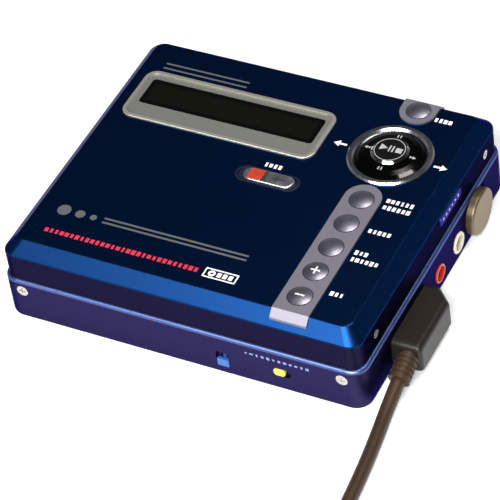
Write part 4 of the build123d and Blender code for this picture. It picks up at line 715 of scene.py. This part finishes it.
class DISC_PLAYER_OT_keys(bpy.types.Operator):
    """Finish the keys, the sliders and the open knob, and add the marks on the keys"""

    bl_idname = "disc_player.keys"
    bl_label = "Keys and sliders"

    def execute(self, context):
        colours = context.scene.disc_player_trim
        buttons = [f"strip_button_{number}" for number in range(1, 6)]
        metal = polished_metal("Button metal", shade(colours.plate, 1.3), 0.36)
        dress(metal, "menu_button", *buttons)
        dress(self.black_chrome(), "control_key")
        dress(polished_metal("Centre key", (0.3, 0.28, 0.27), 0.12), "centre_button")
        dress(polished_metal("Record knob", colours.chrome, 0.3), "record_knob")
        dress(moulded_plastic("Record cup", (0.01, 0.012, 0.03), 0.3), "record_cup")
        dress(brushed_metal("Open knob", (0.19, 0.14, 0.085), 0.42, 2, 0.004), "open_knob")
        dress(moulded_plastic("Blue slider", (0.025, 0.1, 0.38), 0.35, coat=0.2), "mode_switch")
        dress(moulded_plastic("Yellow slider", (0.6, 0.58, 0.07), 0.35, coat=0.2), "hold_switch")
        self.plus_and_minus()
        self.pad_marks()
        self.record_marks()
        return {"FINISHED"}

    def black_chrome(self):
        """Nearly black plating under a clear coat."""
        finish = Finish("Black chrome", metallic=1.0, coat_weight=0.5, coat_roughness=0.02)
        haze = finish.noise(250.0, 3.0)
        finish.set("Base Color", finish.mixed(haze, (0.02, 0.018, 0.018), (0.045, 0.04, 0.038)))
        finish.set("Roughness", 0.1 + haze * 0.06)
        return finish.material

    def plus_and_minus(self):
        """Raised plus and minus on the last two buttons."""
        light = printed_ink("Key marks", (0.75, 0.72, 0.78))
        arm, half = 1.0 * MM, 0.17 * MM
        for number, upright in ((4, True), (5, False)):
            x, y = middle(f"strip_button_{number}")
            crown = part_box(f"strip_button_{number}")[1].z
            floor, top = crown - 0.12 * MM, crown + 0.01 * MM
            mark = Shape()
            mark.prism(bar(x - arm, y - half, x + arm, y + half), floor, top)
            if upright:
                mark.prism(bar(x - half, y + half, x + half, y + arm), floor, top)
                mark.prism(bar(x - half, y - arm, x + half, y - half), floor, top)
            mark.piece(f"button_{number}_mark", light, f"button_{number}", "rim_silver")

    def pad_marks(self):
        """Play, pause and stop signs on the centre key, and small signs round the four-way key."""
        silver = moulded_plastic("Sign silver", (0.42, 0.41, 0.4), 0.35)
        x, y = middle("centre_button")
        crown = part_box("centre_button")[1].z
        floor, top = crown - 0.05 * MM, crown + 0.015 * MM
        signs = Shape()
        signs.prism(moved(TRIANGLE, (x - 1.5 * MM, y + 0.3 * MM), 1.5 * MM), floor, top)
        for step in (-0.3, 0.45):
            left = x + step * MM
            signs.prism(bar(left, y - 0.6 * MM, left + 0.35 * MM, y + 1.2 * MM), floor, top)
        signs.prism(bar(x + 1.3 * MM, y - 0.5 * MM, x + 2.7 * MM, y + 0.9 * MM), floor, top)
        signs.ring((x, y), 3.35 * MM, 3.2 * MM, floor, top)
        signs.piece("centre_signs", silver, "centre", "rim_silver")
        self.key_signs(silver, x, y)

    def key_signs(self, silver, x, y):
        """Two small triangles on the left and right of the key, two small bars front and back."""
        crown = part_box("control_key")[1].z
        reach = 5.05 * MM
        floor, top = crown - 0.3 * MM, crown - 0.02 * MM
        signs = Shape()
        for side, turn in ((1, 0.0), (-1, math.pi)):
            for step in (-0.35, 0.35):
                place = (x + side * (reach + step * MM), y)
                signs.prism(moved(TRIANGLE, place, 0.62 * MM, turn), floor, top)
        long, wide = 0.8 * MM, 0.25 * MM
        for side in (1, -1):
            for step in (-0.5, 0.15):
                left = x + step * MM
                front = y + side * reach - long / 2
                signs.prism(bar(left, front, left + wide, front + long), floor, top)
        signs.piece("key_signs", silver, "key", "rim_silver")

    def record_marks(self):
        """Red inlay, dark band and arrow on the record knob."""
        low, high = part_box("record_knob")
        y = (low.y + high.y) / 2
        half = (high.y - low.y) / 2 - 0.3 * MM
        floor, top = high.z - 0.05 * MM, high.z + 0.02 * MM
        inlay_left, inlay_right, band_right = (low.x + step * MM for step in (1.2, 4.4, 5.3))
        inlay = Shape()
        inlay.prism(bar(inlay_left, y - half, inlay_right, y + half), floor, top)
        red = moulded_plastic("Record red", (0.42, 0.04, 0.02), 0.3)
        inlay.piece("record_inlay", red, "record", "red_plastic")
        dark = printed_ink("Arrow ink", (0.03, 0.03, 0.035))
        signs = Shape()
        signs.prism(bar(inlay_right, y - half, band_right, y + half), floor, top)
        signs.prism(moved(ARROW, (low.x + 9.4 * MM, y), 1.0 * MM, math.pi), floor, top)
        signs.piece("record_arrow", dark, "record", "dark_plastic")


class DISC_PLAYER_OT_sockets(bpy.types.Operator):
    """Finish the two audio sockets and the data socket"""

    bl_idname = "disc_player.sockets"
    bl_label = "Sockets"

    def execute(self, context):
        dress(self.socket_finish("Cream ring", (0.75, 0.66, 0.5)), "phones_socket")
        dress(self.socket_finish("Red ring", (0.62, 0.03, 0.02)), "mic_socket")
        dress(moulded_plastic("Socket black", (0.015, 0.015, 0.016), 0.4), "data_socket")
        return {"FINISHED"}

    def socket_finish(self, name, ring_colour):
        """Coloured ring at the wall, dark plastic inside the case."""
        finish = Finish(name, coat_weight=0.5, coat_roughness=0.05)
        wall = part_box("base_case")[1].x
        outside = finish.axis(0).between(wall - 0.9 * MM, wall - 0.5 * MM)
        finish.set("Base Color", finish.mixed(outside, (0.02, 0.02, 0.02), ring_colour))
        finish.set("Roughness", 0.28 + finish.noise(3000.0) * 0.06)
        finish.bump(finish.noise(2500.0), 0.004 * MM)
        return finish.material


class DISC_PLAYER_OT_inner_parts(bpy.types.Operator):
    """Finish what shows when the lid or the battery door is open"""

    bl_idname = "disc_player.inner_parts"
    bl_label = "Inner parts"

    def execute(self, context):
        zinc = sheet_metal("Plated sheet", (0.55, 0.55, 0.55))
        dress(zinc, "deck_plate", "lid_frame", "latch_bar")
        dress(sheet_metal("Holder sheet", (0.62, 0.61, 0.59)), "cartridge_holder")
        ground = brushed_metal("Ground steel", (0.62, 0.62, 0.63), 0.22, 0, 0.002)
        dress(ground, "guide_rods", "lead_screw", "head_rail")
        dress(brushed_metal("Spring wire", (0.5, 0.48, 0.45), 0.3, 1, 0.002), "latch_spring")
        dress(polished_metal("Turntable steel", (0.68, 0.67, 0.65), 0.2), "turntable")
        can = sheet_metal("Motor can", (0.5, 0.5, 0.52))
        dress(can, "spindle_motor", "sled_motor", "write_head")
        filled = moulded_plastic("Black filled plastic", (0.02, 0.02, 0.022), 0.5)
        dress(filled, "pickup_sled", "head_carriage")
        bay = moulded_plastic("Bay plastic", (0.03, 0.03, 0.034), 0.55)
        dress(bay, "battery_bay", "rocker_ring")
        gear = moulded_plastic("Gear plastic", (0.72, 0.7, 0.62), 0.45)
        dress(gear, "idler_gear", "motor_pinion")
        dress(optic("Lens coating", (0.04, 0.06, 0.16)), "objective_lens")
        dress(self.cell_wrap(), "battery")
        gold = polished_metal("Contact plating", (0.8, 0.6, 0.28), 0.25)
        dress(gold, "battery_contact", "lid_switches")
        board = circuit_board("Board", (0.012, 0.09, 0.03), (0.35, 0.24, 0.08))
        dress(board, "main_board", "lid_board")
        dress(moulded_plastic("Chip plastic", (0.018, 0.018, 0.018), 0.5, 6000.0), "board_chips")
        dress(moulded_plastic("Panel frame", (0.2, 0.22, 0.18), 0.4), "display_module")
        return {"FINISHED"}

    def cell_wrap(self):
        """Shrink-wrapped cell with a plain light band."""
        finish = Finish("Cell wrap", metallic=0.3, coat_weight=0.3)
        across = finish.axis(0)
        left, right, soft = -30 * MM, 12 * MM, 0.4 * MM
        band = across.between(left, left + soft) * (1 - across.between(right, right + soft))
        creases = finish.noise(1.0, 2.0, (90.0, 900.0, 900.0))
        base = finish.mixed(creases, (0.16, 0.17, 0.19), (0.2, 0.21, 0.24))
        finish.set("Base Color", finish.mixed(band, base, (0.42, 0.44, 0.47)))
        finish.set("Roughness", 0.35 + creases * 0.1)
        finish.bump(creases, 0.02 * MM)
        return finish.material


class DISC_PLAYER_OT_print(bpy.types.Operator):
    """Add the plain printed marks on the lid, the front and the side plate"""

    bl_idname = "disc_player.print"
    bl_label = "Printed marks"

    def execute(self, context):
        self.sizes = context.scene.disc_player_print
        self.tree = mark_row_tree()
        self.white = printed_ink("White ink", (0.85, 0.86, 0.88))
        self.red = printed_ink("Red ink", (0.55, 0.03, 0.06))
        self.silver = brushed_metal("Silver foil", (0.5, 0.52, 0.52), 0.35, 0, 0.002)
        corner, far_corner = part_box("lid_shell")
        self.left, self.front, self.top = corner.x, corner.y, far_corner.z
        self.label_rows()
        self.red_row()
        self.plain_lines()
        self.side_arrows()
        self.badge()
        self.front_marks()
        self.side_plate_marks()
        return {"FINISHED"}

    def prism(self, shape, outline):
        """A thickness of ink on the lid."""
        shape.prism(outline, self.top, self.top + self.sizes.ink)

    def row(self, name, place, count, pitch, height, ink, slot, seed):
        """A row of uneven bars on the lid, from its place towards +X."""
        thick = self.sizes.ink
        values = {
            "Start": (place[0] + pitch / 2, place[1], self.top + thick / 2),
            "Step": (pitch, 0.0, 0.0),
            "Count": count,
            "Bar size": (pitch * 0.78, height, thick),
            "Least scale": (0.55, 0.8, 1.0),
            "Seed": seed,
            "Ink": ink,
        }
        mark_row(name, self.tree, "lid", values)

    def label_rows(self):
        """Short rows of bars: the piece that each stands by, its left end, how far up, its bars."""
        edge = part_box("strip_plate")[1].x
        cup = middle("record_cup")[0]
        rows = [
            ("strip_button_1", edge + 0.65 * MM, 1.8 * MM, 6),
            ("strip_button_1", edge + 0.65 * MM, -0.2 * MM, 6),
            ("strip_button_2", edge + 0.75 * MM, -0.15 * MM, 5),
            ("strip_button_3", edge + 0.75 * MM, 0.6 * MM, 3),
            ("strip_button_3", edge + 0.75 * MM, -1.4 * MM, 6),
            ("strip_button_5", edge + 0.95 * MM, 3.1 * MM, 3),
            ("menu_button", edge + 0.05 * MM, -1.15 * MM, 4),
            ("record_cup", cup - 2.6 * MM, 3.85 * MM, 4),
        ]
        pitch, letter = self.sizes.pitch, self.sizes.letter
        for number, (beside, left, up, count) in enumerate(rows, start=1):
            place = (left, middle(beside)[1] + up)
            name = f"label_row_{number}"
            self.row(name, place, count, pitch, letter, self.white, "cream_plastic", number)

    def red_row(self):
        """Long row of red bars near the front edge."""
        place = (self.left + 7.3 * MM, self.front + 7.0 * MM)
        self.row("red_row", place, 30, 1.2 * MM, 1.3 * MM, self.red, "red_plastic", 21)

    def plain_lines(self):
        """Silver lines: a pair behind the window, and three dots with a pair near the front."""
        lines = Shape()
        low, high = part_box("display_bezel")
        left, length, half = low.x + 2.4 * MM, 20.2 * MM, 0.22 * MM
        for above in (1.5 * MM, 3.0 * MM):
            y = high.y + above
            self.prism(lines, bar(left, y - half, left + length, y + half))
        y = self.front + 13.4 * MM
        for right, radius in ((8.6, 1.5), (12.4, 1.1), (15.5, 0.75)):
            self.prism(lines, circle((self.left + right * MM, y), radius * MM))
        left, length, half = self.left + 17.9 * MM, 33.3 * MM, 0.25 * MM
        for line in (y + 0.6 * MM, y - 0.6 * MM):
            self.prism(lines, bar(left, line - half, left + length, line + half))
        lines.piece("plain_lines", self.silver, "lid", "rim_silver")

    def side_arrows(self):
        """Arrows on both sides of the control pad."""
        low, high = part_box("control_ring")
        y = middle("control_ring")[1]
        arrows = Shape()
        self.prism(arrows, moved(ARROW, (low.x - 0.8 * MM, y), 1.0 * MM, math.pi))
        self.prism(arrows, moved(ARROW, (high.x + 0.6 * MM, y), 1.0 * MM))
        arrows.piece("side_arrows", self.white, "lid", "cream_plastic")

    def badge(self):
        """White outline with a plain disc sign and three bars in it."""
        left, front = self.left + 44.5 * MM, self.front + 5.8 * MM
        right, back = left + 7.4 * MM, front + 2.6 * MM
        line = 0.3 * MM
        marks = Shape()
        self.prism(marks, bar(left, front, right, front + line))
        self.prism(marks, bar(left, back - line, right, back))
        self.prism(marks, bar(left, front + line, left + line, back - line))
        self.prism(marks, bar(right - line, front + line, right, back - line))
        y = (front + back) / 2
        disc = (left + 1.75 * MM, y)
        marks.ring(disc, 0.8 * MM, 0.3 * MM, self.top, self.top + self.sizes.ink, 32)
        half_width, half_height = 0.45 * MM, 0.6 * MM
        for step in (3.4, 4.7, 6.0):
            x = left + step * MM
            self.prism(marks, bar(x - half_width, y - half_height, x + half_width, y + half_height))
        marks.piece("disc_badge", self.white, "lid", "cream_plastic")

    def front_marks(self):
        """Small light marks on the lower case's front, above the sliders."""
        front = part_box("base_case")[0].y
        slider_low, slider_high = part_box("hold_switch")
        thick = 0.02 * MM
        values = {
            "Start": (slider_low.x - 5.9 * MM, front - thick / 2, slider_high.z + 2.2 * MM),
            "Step": (1.25 * MM, 0.0, 0.0),
            "Count": 12,
            "Bar size": (0.85 * MM, thick, 0.75 * MM),
            "Least scale": (0.4, 1.0, 0.6),
            "Seed": 5,
            "Ink": printed_ink("Front ink", (0.2, 0.22, 0.5)),
        }
        mark_row("front_marks", self.tree, "base", values)

    def side_plate_marks(self):
        """Row of light dots on the side plate."""
        low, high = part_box("side_plate")
        thick = 0.02 * MM
        values = {
            "Start": (high.x + thick / 2, low.y + 1.6 * MM, (low.z + high.z) / 2),
            "Step": (0.0, 1.5 * MM, 0.0),
            "Count": 6,
            "Bar size": (thick, 0.8 * MM, 0.7 * MM),
            "Least scale": (1.0, 0.5, 0.6),
            "Seed": 9,
            "Ink": printed_ink("Side ink", (0.5, 0.5, 0.75)),
        }
        mark_row("side_plate_marks", self.tree, "lid", values)


class DISC_PLAYER_PT_panel(bpy.types.Panel):
    """Sizes, colours and the steps that dress the disc player"""

    bl_idname = "DISC_PLAYER_PT_panel"
    bl_label = "Disc player"
    bl_space_type = "VIEW_3D"
    bl_region_type = "UI"
    bl_category = "Disc player"

    def draw(self, context):
        for name in settings_groups:
            group = getattr(context.scene, name)
            box = self.layout.box()
            for key in group.bl_rna.properties.keys():
                if key not in ("rna_type", "name"):
                    box.prop(group, key)
        for step in steps:
            self.layout.operator(step.bl_idname)


settings_groups = {
    "disc_player_case": CaseColours,
    "disc_player_trim": TrimColours,
    "disc_player_print": PrintSizes,
    "disc_player_lead": LeadSizes,
    "disc_player_studio": StudioSettings,
}
steps = (
    DISC_PLAYER_OT_studio,
    DISC_PLAYER_OT_data_lead,
    DISC_PLAYER_OT_case_paint,
    DISC_PLAYER_OT_trim,
    DISC_PLAYER_OT_keys,
    DISC_PLAYER_OT_sockets,
    DISC_PLAYER_OT_inner_parts,
    DISC_PLAYER_OT_print,
)


def register():
    for name, group in settings_groups.items():
        bpy.utils.register_class(group)
        setattr(bpy.types.Scene, name, PointerProperty(type=group))
    for step in steps:
        bpy.utils.register_class(step)
    bpy.utils.register_class(DISC_PLAYER_PT_panel)


def unregister():
    bpy.utils.unregister_class(DISC_PLAYER_PT_panel)
    for step in reversed(steps):
        bpy.utils.unregister_class(step)
    for name, group in settings_groups.items():
        delattr(bpy.types.Scene, name)
        bpy.utils.unregister_class(group)


def main():
    register()
    for step in steps:
        group, operator = step.bl_idname.split(".")
        getattr(getattr(bpy.ops, group), operator)()


if __name__ == "__main__":
    main()
